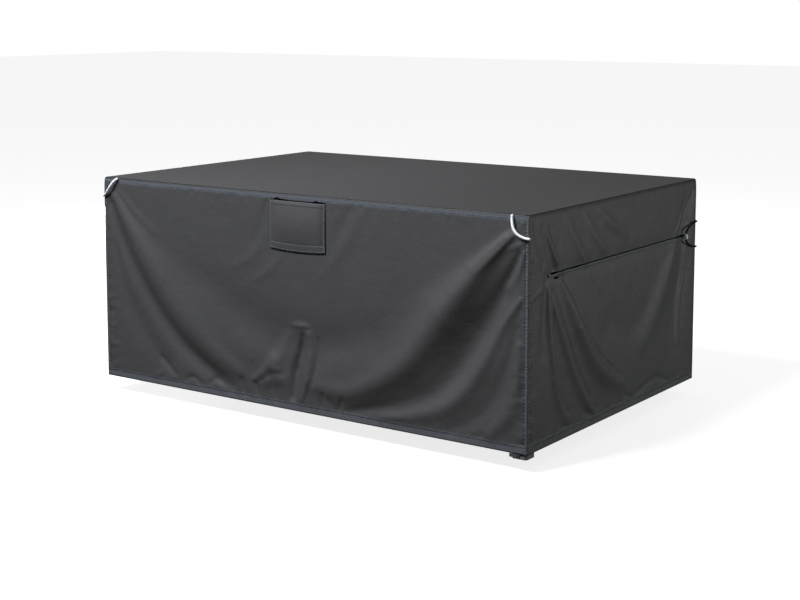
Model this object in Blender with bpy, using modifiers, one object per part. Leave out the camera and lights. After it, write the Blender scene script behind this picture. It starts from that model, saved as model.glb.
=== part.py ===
"""Patio furniture cover: a fitted, box-shaped cover of coated cloth, hung in its real folds.

Metres, +Z up. The origin is the middle of the underside of the top panel. +X runs to the right
along the long front, and the front faces -Y. The cover is hollow and open at the hem.
"""

import math

import bmesh
import bpy
import numpy as np
from mathutils import Vector

# ---------------------------------------------------------------- driving dimensions
LENGTH = 1.800
WIDTH = 1.200
DROP = 0.740

CLOTH = 0.0020           # cloth thickness
SEAM_GAP = 0.0003        # gap kept between touching pieces
BAND_EXTRA = 0.0008      # how far a folded band stands out of its panel
BAND_CLOTH = 0.0032      # thickness of a folded band or hem
HEADING = 0.012          # folded band under the top edge
HEM = 0.026              # hem at the foot of each panel
BAND_STEP = 0.0015       # height over which a band's edge steps back to the panel

SEAM_RADIUS = 0.0025     # bound corner seam
SEAM_INSET = 0.0015      # its middle, measured in from both faces
PANEL_INSET = 0.0045     # where a side panel stops short of the corner
TOP_CORNER = 0.012       # plan radius of the top panel's corners
SOFT_EDGE = 0.0006       # eased edge of the top panel
CORNER_TUCK = 0.0026     # how far a side panel draws in under those corners
TUCK_WIDTH = 0.015       # how far along the panel that draw-in reaches
TUCK_REACH = 0.012       # and how far down
CALM = 0.030             # distance from a panel's upright edge over which folds die out
TOP_CALM = 0.030         # distance below the heading over which they die out
FOLD_STEPS = 10          # points worked out between two places of a fold
MM = 0.001

FLAP_WIDTH = 0.235
FLAP_X = 0.009           # middle of the flap
FLAP_TOP = -0.0235
FLAP_DROP = 0.1635       # to the corners of its hem
FLAP_SAG = 0.006         # how much lower the middle of its hem hangs
FLAP_HEM = 0.024
FLAP_STAND = 0.0016      # how far its free edges stand off the panel
FLAP_CROWN = 0.0095      # extra bulge of its middle
FLAP_ROUNDING = 1.6      # how soon it reaches its full stand below its top edge
FLAP_MARGIN = 0.015      # how far round the flap the panel is held flat
FLAP_EASE = 0.015        # and the stretch over which its folds start

CHANNEL_TOP = -0.1945
CHANNEL_HEIGHT = 0.013
CHANNEL_START = -0.477
CHANNEL_END = 0.518
CHANNEL_CLOTH = 0.0018
CHANNEL_LIFT = 0.0002    # how far it stands off the panel beyond the seam gap
CHANNEL_DRAW = 0.0030    # how far the drawcord pulls the panel in along its line
DRAW_REACH = 0.030       # and how far round that line

LOOP_DIAMETER = 0.009
ELASTIC_DIAMETER = 0.0064
LOCK_RADIUS = 0.0070
LOCK_HEIGHT = 0.018
LOCK_PLACE = (0.9075, 0.5070, -0.2000)

STRAP_SIZE = 0.054       # outside of the square webbing band
STRAP_HEIGHT = 0.026
STRAP_CLOTH = 0.0016
STRAP_FOOT = -0.757
STRAP_CORNER = 0.009     # radius of the band's corners
STRAP_CLEAR = 0.0005     # gap between the band and the hem inside it
BUCKLE_SIZE = (0.024, 0.0030, 0.0136)
BUCKLE_PLACE = (0.8610, -0.5989, -0.7475)
TAIL_LENGTH = 0.013
TAIL_INSET = 0.0006      # how much slimmer the strap's tail is than the buckle

HALF_X = LENGTH / 2
HALF_Y = WIDTH / 2

# ---------------------------------------------------------------- folds
# One row for each fold: the places that it runs through, its half width at each, and its height
# there. Heights above 0 stand out, below 0 sink in. Places are (along the panel, height). All in
# millimetres.
FOLD_COLUMNS = ("places", "half_widths", "heights")

FRONT_FOLDS = (
    # the swag from the right corner loop: its crest, the fullness above it and the hollow below
    (((848, -62), (740, -172), (598, -342), (458, -510), (300, -612), (190, -648), (76, -640)),
     (12, 34, 60, 56, 42, 34, 28), (5, 15, 27, 23, 14, 10, 5)),
    (((820, -72), (700, -200), (560, -320), (420, -450), (260, -545), (110, -590)),
     (14, 34, 60, 80, 80, 56), (3, 6, 8, 9, 8, 5)),
    (((868, -120), (812, -238), (730, -376), (645, -506),
      (560, -592), (440, -648), (300, -688), (205, -708)),
     (10, 30, 54, 54, 42, 28, 17, 12), (-6, -17, -24, -19, -10, -6, -5, -3)),
    # the second crest on the right and the folds beside the seam
    (((872, -262), (800, -362), (735, -480), (670, -572), (590, -640), (480, -682), (360, -706)),
     (10, 20, 29, 33, 31, 22, 16), (5, 10, 13, 12, 9, 5, 2)),
    (((858, -350), (828, -470), (780, -580), (710, -656), (620, -706)),
     (10, 20, 30, 30, 20), (-3, -5, -6, -5, -3)),
    (((872, -400), (866, -520), (835, -620), (770, -692)),
     (12, 22, 28, 20), (4, 7, 7, 4)),
    # the swag from the left corner loop
    (((-856, -62), (-790, -160), (-682, -304), (-590, -408), (-476, -508), (-350, -592), (-262, -636)),
     (12, 28, 46, 56, 58, 46, 28), (4, 8, 12, 14, 15, 12, 6)),
    (((-838, -62), (-765, -160), (-640, -288), (-500, -400), (-350, -500), (-180, -570)),
     (12, 28, 46, 62, 70, 50), (3, 5, 6, 6, 5, 3)),
    (((-866, -90), (-822, -205), (-742, -338), (-640, -466), (-520, -580), (-400, -650), (-290, -696)),
     (9, 20, 30, 35, 36, 28, 19), (-4, -5, -7, -8, -10, -9, -5)),
    (((-862, -240), (-806, -410), (-716, -548), (-600, -650)),
     (14, 36, 46, 34), (-2, -5, -6, -4)),
    # the slack between the two swags
    (((-460, -300), (-250, -430), (-60, -492), (140, -500), (330, -455), (520, -330)),
     (60, 80, 85, 85, 75, 60), (-2, -8, -10, -11, -8, -2)),
    # the small pinched pleat low in the middle
    (((50, -470), (54, -540), (48, -620), (28, -700)), (13, 17, 17, 13), (6, 9, 9, 5)),
    (((-38, -476), (-60, -534), (-92, -600)), (14, 26, 30), (2, 6, 12)),
    (((-64, -640), (-134, -650)), (26, 24), (6, 6)),
    (((20, -476), (10, -530), (-8, -600), (-18, -692)), (8, 14, 16, 15), (-3, -12, -16, -9)),
    (((88, -486), (84, -560), (70, -630)), (10, 13, 12), (-3, -6, -5)),
    (((-104, -570), (-142, -620), (-186, -652)), (20, 17, 13), (5, 6, 4)),
)

RIGHT_END_FOLDS = (
    # above the near end of the channel
    (((-520, -44), (-484, -112), (-442, -184)), (10, 15, 18), (-2, -3, -4)),
    (((-500, -50), (-456, -120), (-404, -185)), (12, 18, 24), (2, 5, 6)),
    (((-370, -40), (-306, -112), (-240, -184)), (14, 20, 20), (2, 5, 4)),
    (((-250, -32), (-186, -104), (-122, -160)), (14, 20, 20), (2, 5, 4)),
    (((-150, -32), (-58, -88), (40, -130)), (14, 20, 22), (2, 5, 2)),
    # fanning out below it
    (((-494, -228), (-500, -330), (-506, -440)), (11, 20, 24), (-3, -5, -3)),
    (((-476, -238), (-465, -356), (-444, -482), (-414, -584), (-358, -672)),
     (12, 16, 20, 24, 20), (3, 6, 8, 6, 3)),
    (((-460, -258), (-422, -337), (-362, -442), (-305, -537), (-244, -619), (-168, -702)),
     (12, 18, 24, 28, 26, 16), (3, 7, 8, 8, 7, 4)),
    (((-396, -234), (-342, -302), (-275, -392), (-193, -495), (-98, -575), (20, -642)),
     (14, 30, 38, 44, 44, 30), (4, 9, 13, 13, 11, 5)),
    # above the far end
    (((600, -28), (534, -112), (484, -178)), (30, 50, 40), (-4, -9, -4)),
    # below it
    (((440, -206), (365, -320), (290, -420), (200, -520)), (16, 40, 50, 50), (4, 8, 8, 4)),
    (((500, -228), (490, -320), (460, -410), (444, -500), (440, -580)),
     (20, 46, 56, 60, 50), (-4, -8, -9, -8, -3)),
    # the slack between the two ends
    (((-60, -420), (80, -470), (220, -420)), (50, 60, 50), (-3, -4, -3)),
)

BACK_FOLDS = (
    (((-850, -60), (-720, -230), (-560, -400), (-380, -540), (-180, -640)),
     (12, 36, 58, 64, 40), (5, 11, 15, 14, 6)),
    (((-868, -100), (-790, -290), (-660, -460), (-480, -610), (-300, -694)),
     (10, 28, 40, 38, 20), (-5, -11, -13, -11, -5)),
    (((852, -58), (740, -200), (600, -350), (430, -500), (230, -620)),
     (12, 34, 56, 64, 42), (5, 11, 15, 14, 6)),
    (((870, -98), (800, -270), (690, -440), (520, -590), (330, -694)),
     (10, 28, 40, 38, 20), (-5, -11, -13, -11, -5)),
    (((-70, -470), (-40, -580), (-62, -704)), (16, 26, 20), (3, 7, 4)),
    (((20, -480), (34, -590), (24, -704)), (14, 24, 18), (-3, -7, -4)),
)

LEFT_END_FOLDS = (
    (((-552, -60), (-440, -240), (-310, -400), (-120, -560), (60, -640)),
     (12, 34, 50, 50, 34), (4, 10, 12, 10, 4)),
    (((-568, -100), (-490, -300), (-370, -470), (-200, -620), (-60, -694)),
     (10, 26, 36, 34, 20), (-4, -9, -11, -9, -4)),
    (((552, -60), (470, -230), (370, -400), (250, -560), (130, -684)),
     (12, 30, 44, 44, 24), (4, 9, 11, 10, 4)),
    (((568, -110), (520, -300), (440, -470), (330, -624)),
     (10, 24, 34, 22), (-4, -9, -10, -5)),
)


def curve_through(places):
    """Points on a smooth curve through a fold's places, FOLD_STEPS of them to each stretch."""
    knots = np.array(places, float) * MM
    knots = np.vstack((2 * knots[0] - knots[1], knots, 2 * knots[-1] - knots[-2]))
    t = np.linspace(0.0, 1.0, FOLD_STEPS, endpoint=False)[:, None]
    stretches = [
        0.5 * (2 * b + (c - a) * t + (2 * a - 5 * b + 4 * c - d) * t**2
               + (3 * b - a - 3 * c + d) * t**3)
        for a, b, c, d in zip(knots, knots[1:], knots[2:], knots[3:])
    ]
    return np.vstack((*stretches, knots[-2:-1]))


def with_curves(table):
    """The rows of a fold table by column name, each with the curve that it runs along."""
    folds = [dict(zip(FOLD_COLUMNS, row)) for row in table]
    for fold in folds:
        fold["line"] = curve_through(fold["places"])
    return folds


def fold_height(folds, along, z):
    """How far the cloth stands out at a place on a panel, in metres, summed over the folds."""
    total = 0.0
    for fold in folds:
        line = fold["line"]
        step = line[1:] - line[:-1]
        offset = np.array((along, z)) - line[:-1]
        part = np.clip((offset * step).sum(axis=1) / (step**2).sum(axis=1), 0.0, 1.0)
        away = np.linalg.norm(offset - part[:, None] * step, axis=1)
        nearest = int(away.argmin())
        station = (nearest + part[nearest]) / FOLD_STEPS
        places_at = range(len(fold["places"]))
        width = MM * np.interp(station, places_at, fold["half_widths"])
        height = MM * np.interp(station, places_at, fold["heights"])
        total += height * math.exp(-((away[nearest] / width) ** 2))
    return total


FRONT_CURVES = with_curves(FRONT_FOLDS)
RIGHT_END_CURVES = with_curves(RIGHT_END_FOLDS)
BACK_CURVES = with_curves(BACK_FOLDS)
LEFT_END_CURVES = with_curves(LEFT_END_FOLDS)


def smooth_step(value):
    value = min(1.0, max(0.0, value))
    return value * value * (3 - 2 * value)


def corner_tuck(from_corner, z):
    """How far the cloth draws in under the top panel's rounded corners."""
    return CORNER_TUCK * math.exp(-((from_corner / TUCK_WIDTH) ** 2)) * math.exp(z / TUCK_REACH)


def calmed(folds, half, along, z):
    """The folds, held still at the corner seams and at the top edge."""
    from_corner = half - abs(along)
    at_corner = smooth_step((from_corner - PANEL_INSET) / CALM)
    at_top = smooth_step((-z - HEADING) / TOP_CALM)
    return fold_height(folds, along, z) * at_corner * at_top - corner_tuck(from_corner, z)


def in_flap(x, z):
    """1 under the vent flap, where the panel is held flat, falling to 0 just outside it."""
    across = smooth_step((FLAP_WIDTH / 2 + FLAP_MARGIN - abs(x - FLAP_X)) / FLAP_EASE)
    down = smooth_step((z - (FLAP_TOP - FLAP_DROP - FLAP_MARGIN)) / FLAP_EASE)
    return across * down


def front_stand(x, z):
    return calmed(FRONT_CURVES, HALF_X, x, z) * (1.0 - in_flap(x, z))


def right_end_stand(y, z):
    """The end panel is also drawn in a little along the line of the channel."""
    middle = CHANNEL_TOP - CHANNEL_HEIGHT / 2
    past_ends = max(0.0, CHANNEL_START - y, y - CHANNEL_END)
    away = math.hypot(z - middle, past_ends) / DRAW_REACH
    return calmed(RIGHT_END_CURVES, HALF_Y, y, z) - CHANNEL_DRAW * math.exp(-(away**2))


def back_stand(x, z):
    return calmed(BACK_CURVES, HALF_X, x, z)


def left_end_stand(y, z):
    return calmed(LEFT_END_CURVES, HALF_Y, y, z)


# ---------------------------------------------------------------- grid stations
def stations(breaks):
    """Positions from (end of stretch, cells in it) rows; the first row gives only the start."""
    places = [breaks[0][0]]
    for end, cells in breaks[1:]:
        start = places[-1]
        places += [start + (end - start) * (i + 1) / cells for i in range(cells)]
    return places


EDGE_X = HALF_X - PANEL_INSET
EDGE_Y = HALF_Y - PANEL_INSET
CHANNEL_FOOT = CHANNEL_TOP - CHANNEL_HEIGHT
PANEL_TOP = -SEAM_GAP

FRONT_COLUMNS = stations(
    ((-EDGE_X, 0), (-0.80, 4), (-0.14, 17), (0.14, 13), (0.44, 7), (0.80, 12), (EDGE_X, 4))
)
BELOW_HEADING = -HEADING - BAND_STEP
ABOVE_HEM = HEM - DROP + BAND_STEP
HEADING_ROWS = ((PANEL_TOP, 0), (-HEADING, 1), (BELOW_HEADING, 1))
HEM_ROWS = ((HEM - DROP, 1), (-DROP, 1))
FRONT_ROWS = stations((*HEADING_ROWS, (ABOVE_HEM, 24), *HEM_ROWS))
END_COLUMNS = stations(
    ((-EDGE_Y, 0), (CHANNEL_START, 6), (-0.20, 14), (0.36, 16), (CHANNEL_END, 7), (EDGE_Y, 5))
)
END_ROWS = stations(
    ((PANEL_TOP, 0), (CHANNEL_TOP, 7), (CHANNEL_FOOT, 1), (ABOVE_HEM, 20), *HEM_ROWS)
)
LEFT_ROWS = stations(((PANEL_TOP, 0), (ABOVE_HEM, 9), *HEM_ROWS))
BACK_ROWS = stations((*HEADING_ROWS, (ABOVE_HEM, 8), *HEM_ROWS))
BACK_COLUMNS = stations(((-EDGE_X, 0), (EDGE_X, 26)))
LEFT_COLUMNS = stations(((-EDGE_Y, 0), (EDGE_Y, 18)))


# ---------------------------------------------------------------- helpers
def new_collection(name):
    collection = bpy.data.collections.new(name)
    bpy.context.scene.collection.children.link(collection)
    return collection


def new_material(name, colour, roughness, metallic=0.0):
    material = bpy.data.materials.new(name)
    material.use_nodes = True
    shader = material.node_tree.nodes["Principled BSDF"]
    shader.inputs["Base Color"].default_value = (*colour, 1.0)
    shader.inputs["Roughness"].default_value = roughness
    shader.inputs["Metallic"].default_value = metallic
    return material


def add_object(name, data, material, collection):
    data.materials.append(material)
    obj = bpy.data.objects.new(name, data)
    collection.objects.link(obj)
    return obj


def grid_mesh(name, columns, rows, place, outward):
    """A grid whose points are moved by place(column, row); its faces look along outward."""
    bm = bmesh.new()
    across = len(columns) - 1
    down = len(rows) - 1
    bmesh.ops.create_grid(bm, x_segments=across, y_segments=down, size=0.5)
    for vert in bm.verts:
        column = round((vert.co.x + 0.5) * across)
        row = round((0.5 - vert.co.y) * down)
        vert.co = place(columns[column], rows[row])
    bm.normal_update()
    if sum((face.normal for face in bm.faces), Vector()).dot(outward) < 0:
        bmesh.ops.reverse_faces(bm, faces=bm.faces)
    mesh = bpy.data.meshes.new(name)
    bm.to_mesh(mesh)
    bm.free()
    mesh.shade_smooth()
    return mesh


def thicken(obj, thickness):
    """Give a cloth its thickness, inwards from its outer face."""
    solidify = obj.modifiers.new("Cloth thickness", "SOLIDIFY")
    solidify.thickness = thickness
    solidify.offset = -1.0
    solidify.use_even_offset = True
    return solidify


def thicken_bands(obj, is_band):
    """Cloth thickness with thicker folded bands, where is_band(point) is true."""
    group = obj.vertex_groups.new(name="bands")
    band = [vert.index for vert in obj.data.vertices if is_band(vert.co)]
    group.add(band, 1.0, "REPLACE")
    solidify = thicken(obj, BAND_CLOTH)
    solidify.use_even_offset = False
    solidify.vertex_group = group.name
    solidify.thickness_vertex_group = CLOTH / BAND_CLOTH


def smooth_route(points, spacing):
    """Points a set distance apart on a smooth curve through a route's own points."""
    knots = [Vector(p) for p in points]
    knots = [2 * knots[0] - knots[1], *knots, 2 * knots[-1] - knots[-2]]
    fine = []
    for i in range(1, len(knots) - 2):
        a, b, c, d = knots[i - 1 : i + 3]
        for step in range(24):
            t = step / 24
            fine.append(
                0.5 * (2 * b + (c - a) * t + (2 * a - 5 * b + 4 * c - d) * t**2
                       + (3 * b - a - 3 * c + d) * t**3)
            )
    fine.append(knots[-2])
    lengths = [0.0]
    for p, q in zip(fine, fine[1:]):
        lengths.append(lengths[-1] + (q - p).length)
    count = max(2, round(lengths[-1] / spacing))
    wanted = [lengths[-1] * i / count for i in range(count + 1)]
    axes = [np.interp(wanted, lengths, [p[axis] for p in fine]) for axis in range(3)]
    return [Vector(p) for p in zip(*axes)]


def tube(name, points, radius, material, collection):
    curve = bpy.data.curves.new(name, "CURVE")
    curve.dimensions = "3D"
    curve.bevel_depth = radius
    curve.bevel_resolution = 2
    curve.use_fill_caps = True
    spline = curve.splines.new("POLY")
    spline.points.add(len(points) - 1)
    for spot, point in zip(spline.points, points):
        spot.co = (*point, 1.0)
    return add_object(name, curve, material, collection)


def is_hem(point):
    return point.z < HEM - DROP + BAND_STEP / 2


def is_heading_or_hem(point):
    """The long sides also have a folded heading band under the top edge."""
    return point.z > -HEADING - BAND_STEP / 2 or is_hem(point)


# ---------------------------------------------------------------- the cloth panels
def make_top_panel(cloth, parts):
    bm = bmesh.new()
    bmesh.ops.create_grid(bm, x_segments=1, y_segments=1, size=1.0)
    for vert in bm.verts:
        vert.co = (vert.co.x * HALF_X, vert.co.y * HALF_Y, CLOTH)
    bmesh.ops.bevel(
        bm, geom=bm.verts[:], offset=TOP_CORNER, affect="VERTICES",
        segments=4, profile=0.5, material=-1,
    )
    mesh = bpy.data.meshes.new("top_panel")
    bm.to_mesh(mesh)
    bm.free()
    obj = add_object("top_panel", mesh, cloth, parts)
    thicken(obj, CLOTH)
    edge = obj.modifiers.new("Soft edge", "BEVEL")
    edge.width = SOFT_EDGE
    edge.segments = 1
    edge.limit_method = "ANGLE"


def make_side_panel(name, columns, rows, stand, outward, cloth, parts):
    """One upright panel; outward is the way it faces and stand its folds."""
    outward = Vector(outward)
    is_band = is_heading_or_hem if outward.y else is_hem
    along = Vector((0, 0, 1)).cross(outward)
    half = HALF_X if outward.y else HALF_Y
    depth = HALF_Y if outward.y else HALF_X
    sign = 1.0 if along.x + along.y > 0 else -1.0

    def place(column, row):
        band = BAND_EXTRA if is_band(Vector((0, 0, row))) else 0.0
        out = depth + stand(column, row) + band
        drawn = math.copysign(corner_tuck(half - abs(column), row), column)
        return along * sign * (column - drawn) + outward * out + Vector((0, 0, row))

    mesh = grid_mesh(name, columns, rows, place, outward)
    obj = add_object(name, mesh, cloth, parts)
    thicken_bands(obj, is_band)


def make_corner_seam(name, sign_x, sign_y, binding, parts):
    """A bound seam down one upright corner, leaning in under the rounded top corner."""
    points = []
    for z in (-0.0012, -0.006, -0.014, -0.03, -0.09, -0.20, -0.33, -0.46, -0.59, -0.70, -DROP):
        inset = SEAM_INSET + corner_tuck(0.0, z)
        points.append((sign_x * (HALF_X - inset), sign_y * (HALF_Y - inset), z))
    tube(name, points, SEAM_RADIUS, binding, parts)


# ---------------------------------------------------------------- the sewn-on pieces
def make_vent_flap(cloth, parts):
    columns = stations(((-0.5, 0), (0.5, 10)))
    rows = stations(((0.0, 0), (1.0 - FLAP_HEM / FLAP_DROP, 6), (1.0, 1)))

    def place(across, down):
        sag = FLAP_SAG * down * math.cos(math.pi * across)
        edge = 1.0 - (2 * abs(across)) ** 4
        crown = FLAP_CROWN * edge * math.sin(math.pi * down)
        stand = FLAP_STAND * math.sin(math.pi / 2 * min(1.0, down * FLAP_ROUNDING)) + crown
        band = BAND_EXTRA if down >= rows[-2] else 0.0
        return Vector((
            FLAP_X + across * FLAP_WIDTH,
            -(HALF_Y + SEAM_GAP + CLOTH + stand + band),
            FLAP_TOP - down * FLAP_DROP - sag,
        ))

    mesh = grid_mesh("vent_flap", columns, rows, place, Vector((0, -1, 0)))
    obj = add_object("vent_flap", mesh, cloth, parts)
    thicken(obj, CLOTH)


def make_drawcord_channel(cloth, parts):
    columns = [y for y in END_COLUMNS if CHANNEL_START - 1e-6 <= y <= CHANNEL_END + 1e-6]
    rows = [CHANNEL_TOP, CHANNEL_FOOT]
    out = HALF_X + SEAM_GAP + CHANNEL_CLOTH + CHANNEL_LIFT

    def place(y, z):
        return Vector((out + right_end_stand(y, z), y, z))

    mesh = grid_mesh("drawcord_channel", columns, rows, place, Vector((1, 0, 0)))
    obj = add_object("drawcord_channel", mesh, cloth, parts)
    thicken(obj, CHANNEL_CLOTH)


def make_cord_lock(moulding, parts):
    """A turned toggle body, fuller in the middle, with a button on top."""
    profile = (
        (0.0, 0.50), (0.52, 0.50), (0.60, 0.42), (0.60, 0.30), (0.90, 0.26),
        (1.00, 0.10), (1.00, -0.28), (0.86, -0.44), (0.60, -0.50), (0.0, -0.50),
    )
    mesh = bpy.data.meshes.new("cord_lock")
    bm = bmesh.new()
    verts = [bm.verts.new((r * LOCK_RADIUS, 0, h * LOCK_HEIGHT)) for r, h in profile]
    for a, b in zip(verts, verts[1:]):
        bm.edges.new((a, b))
    bm.to_mesh(mesh)
    bm.free()
    obj = add_object("cord_lock", mesh, moulding, parts)
    obj.location = LOCK_PLACE
    turn = obj.modifiers.new("Turned", "SCREW")
    turn.steps = turn.render_steps = 16
    turn.use_merge_vertices = True
    turn.merge_threshold = 0.0001


# Cord routes, in metres, each read from one end to the other.
RIGHT_LOOP = (
    (0.8440, -0.6057, 0.0020), (0.8442, -0.6066, -0.0100), (0.8462, -0.6095, -0.0220),
    (0.8505, -0.6125, -0.0350), (0.8575, -0.6140, -0.0470), (0.8670, -0.6138, -0.0570),
    (0.8785, -0.6110, -0.0640), (0.8890, -0.6075, -0.0680), (0.8980, -0.6059, -0.0696),
    (0.9075, -0.6050, -0.0700),
)
LEFT_LOOP = (
    (-0.8255, -0.6057, 0.0010), (-0.8340, -0.6075, -0.0040), (-0.8440, -0.6110, -0.0125),
    (-0.8530, -0.6135, -0.0235), (-0.8625, -0.6140, -0.0350), (-0.8725, -0.6125, -0.0465),
    (-0.8830, -0.6090, -0.0565), (-0.8940, -0.6064, -0.0635), (-0.9050, -0.6052, -0.0680),
)
UPPER_ELASTIC = (
    (0.9075, 0.5075, -0.1896), (0.9077, 0.5090, -0.1842), (0.9078, 0.5175, -0.1757),
    (0.9075, 0.5320, -0.1686), (0.9070, 0.5500, -0.1628), (0.9065, 0.5690, -0.1585),
    (0.9060, 0.5870, -0.1560), (0.9056, 0.5970, -0.1552), (0.9032, 0.6032, -0.1547),
    (0.8970, 0.6060, -0.1543), (0.8860, 0.6059, -0.1540), (0.8740, 0.6050, -0.1538),
)
LOWER_ELASTIC = (
    (0.9075, 0.5075, -0.2106), (0.9077, 0.5095, -0.2160), (0.9077, 0.5190, -0.2240),
    (0.9073, 0.5340, -0.2320), (0.9068, 0.5520, -0.2388), (0.9064, 0.5700, -0.2436),
    (0.9060, 0.5880, -0.2464), (0.9056, 0.5970, -0.2473), (0.9032, 0.6032, -0.2479),
    (0.8970, 0.6060, -0.2483), (0.8860, 0.6059, -0.2486), (0.8740, 0.6050, -0.2488),
)


def make_cord(name, route, diameter, material, parts):
    points = smooth_route(route, diameter)
    tube(name, points, diameter / 2, material, parts)


def make_leg_strap(webbing, parts):
    """A square band of webbing standing just inside the hem at the near corner."""
    inset = BAND_CLOTH - BAND_EXTRA + STRAP_CLEAR + STRAP_SIZE / 2
    bm = bmesh.new()
    bmesh.ops.create_grid(bm, x_segments=1, y_segments=1, size=STRAP_SIZE / 2)
    bmesh.ops.bevel(
        bm, geom=bm.verts[:], offset=STRAP_CORNER, affect="VERTICES",
        segments=3, profile=0.5, material=-1,
    )
    rim = [edge for edge in bm.edges if edge.is_boundary]
    walls = bmesh.ops.extrude_edge_only(bm, edges=rim)["geom"]
    raised = [item for item in walls if isinstance(item, bmesh.types.BMVert)]
    bmesh.ops.translate(bm, verts=raised, vec=(0, 0, STRAP_HEIGHT))
    floor = [face for face in bm.faces if abs(face.normal.z) > 0.5]
    bmesh.ops.delete(bm, geom=floor, context="FACES_ONLY")
    bm.normal_update()
    outermost = max(bm.faces, key=lambda face: face.calc_center_median().x)
    if outermost.normal.x < 0:
        bmesh.ops.reverse_faces(bm, faces=bm.faces)
    bmesh.ops.translate(bm, verts=bm.verts, vec=(HALF_X - inset, inset - HALF_Y, STRAP_FOOT))
    mesh = bpy.data.meshes.new("leg_strap")
    bm.to_mesh(mesh)
    bm.free()
    obj = add_object("leg_strap", mesh, webbing, parts)
    thicken(obj, STRAP_CLOTH)


def make_strap_buckle(moulding, parts):
    """A small slide buckle hanging under the hem, with the strap's tail beside it."""
    bm = bmesh.new()
    bmesh.ops.create_cube(bm, size=1.0)
    bmesh.ops.scale(bm, vec=BUCKLE_SIZE, verts=bm.verts)
    side = min(bm.faces, key=lambda face: face.calc_center_median().x)
    bmesh.ops.inset_region(bm, faces=[side], thickness=TAIL_INSET)
    tail = bmesh.ops.extrude_discrete_faces(bm, faces=[side])["faces"][0]
    bmesh.ops.translate(bm, verts=tail.verts[:], vec=(-TAIL_LENGTH, 0, 0))
    bmesh.ops.translate(bm, verts=bm.verts, vec=BUCKLE_PLACE)
    mesh = bpy.data.meshes.new("strap_buckle")
    bm.to_mesh(mesh)
    bm.free()
    add_object("strap_buckle", mesh, moulding, parts)


# ---------------------------------------------------------------- the whole cover
def main():
    for obj in list(bpy.data.objects):
        bpy.data.objects.remove(obj, do_unlink=True)
    parts = new_collection("patio_furniture_cover")

    cloth = new_material("cover_cloth", (0.085, 0.087, 0.092), 0.62)
    binding = new_material("seam_binding", (0.12, 0.13, 0.15), 0.55)
    loop_cord = new_material("loop_cord", (0.80, 0.82, 0.84), 0.50)
    elastic = new_material("elastic_cord", (0.012, 0.012, 0.013), 0.60)
    pale = new_material("pale_moulding", (0.70, 0.73, 0.76), 0.35)
    webbing = new_material("strap_webbing", (0.10, 0.10, 0.11), 0.70)
    dark = new_material("dark_moulding", (0.02, 0.02, 0.02), 0.45)

    make_top_panel(cloth, parts)
    make_side_panel("front_panel", FRONT_COLUMNS, FRONT_ROWS, front_stand, (0, -1, 0), cloth, parts)
    make_side_panel("back_panel", BACK_COLUMNS, BACK_ROWS, back_stand, (0, 1, 0), cloth, parts)
    make_side_panel("right_end_panel", END_COLUMNS, END_ROWS, right_end_stand, (1, 0, 0), cloth, parts)
    make_side_panel("left_end_panel", LEFT_COLUMNS, LEFT_ROWS, left_end_stand, (-1, 0, 0), cloth, parts)
    for name_y, sign_y in (("front", -1), ("back", 1)):
        for name_x, sign_x in (("right", 1), ("left", -1)):
            make_corner_seam(f"corner_seam_{name_y}_{name_x}", sign_x, sign_y, binding, parts)
    make_vent_flap(cloth, parts)
    make_drawcord_channel(cloth, parts)
    make_cord_lock(pale, parts)
    make_cord("corner_loop_right", RIGHT_LOOP, LOOP_DIAMETER, loop_cord, parts)
    make_cord("corner_loop_left", LEFT_LOOP, LOOP_DIAMETER, loop_cord, parts)
    make_cord("elastic_upper", UPPER_ELASTIC, ELASTIC_DIAMETER, elastic, parts)
    make_cord("elastic_lower", LOWER_ELASTIC, ELASTIC_DIAMETER, elastic, parts)
    make_leg_strap(webbing, parts)
    make_strap_buckle(dark, parts)


main()
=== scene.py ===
"""Patio furniture cover: the finished look of a fitted, box-shaped cover of dark coated cloth.

Metres, +Z up. The origin is the middle of the underside of the top panel. +X runs to the right
along the long front, and the front with the vent flap faces -Y. The cover is open at the hem.
"""

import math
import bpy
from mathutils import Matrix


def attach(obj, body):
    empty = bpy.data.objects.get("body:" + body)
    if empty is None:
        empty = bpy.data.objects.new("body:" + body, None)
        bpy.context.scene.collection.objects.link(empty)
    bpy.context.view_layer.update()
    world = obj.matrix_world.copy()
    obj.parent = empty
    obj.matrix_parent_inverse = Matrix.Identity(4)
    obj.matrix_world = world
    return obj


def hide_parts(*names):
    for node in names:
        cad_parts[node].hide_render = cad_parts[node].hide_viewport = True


bl_info = {
    "name": "Patio Furniture Cover",
    "version": (1, 0, 0),
    "blender": (4, 5, 0),
    "location": "View3D > Sidebar > Cover",
    "description": "Builds a fitted patio furniture cover with its folds, seams, flap and cords",
    "category": "Add Mesh",
}

import bmesh
import bpy
import numpy as np
from bpy.props import FloatProperty, FloatVectorProperty, PointerProperty
from mathutils import Matrix, Vector, noise

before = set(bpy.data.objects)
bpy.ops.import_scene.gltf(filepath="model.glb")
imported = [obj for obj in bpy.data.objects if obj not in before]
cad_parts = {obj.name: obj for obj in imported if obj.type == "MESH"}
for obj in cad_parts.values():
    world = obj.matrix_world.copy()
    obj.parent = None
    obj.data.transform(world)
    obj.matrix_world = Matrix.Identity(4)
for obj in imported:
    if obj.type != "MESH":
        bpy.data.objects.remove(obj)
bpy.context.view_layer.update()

MM = 0.001

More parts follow.
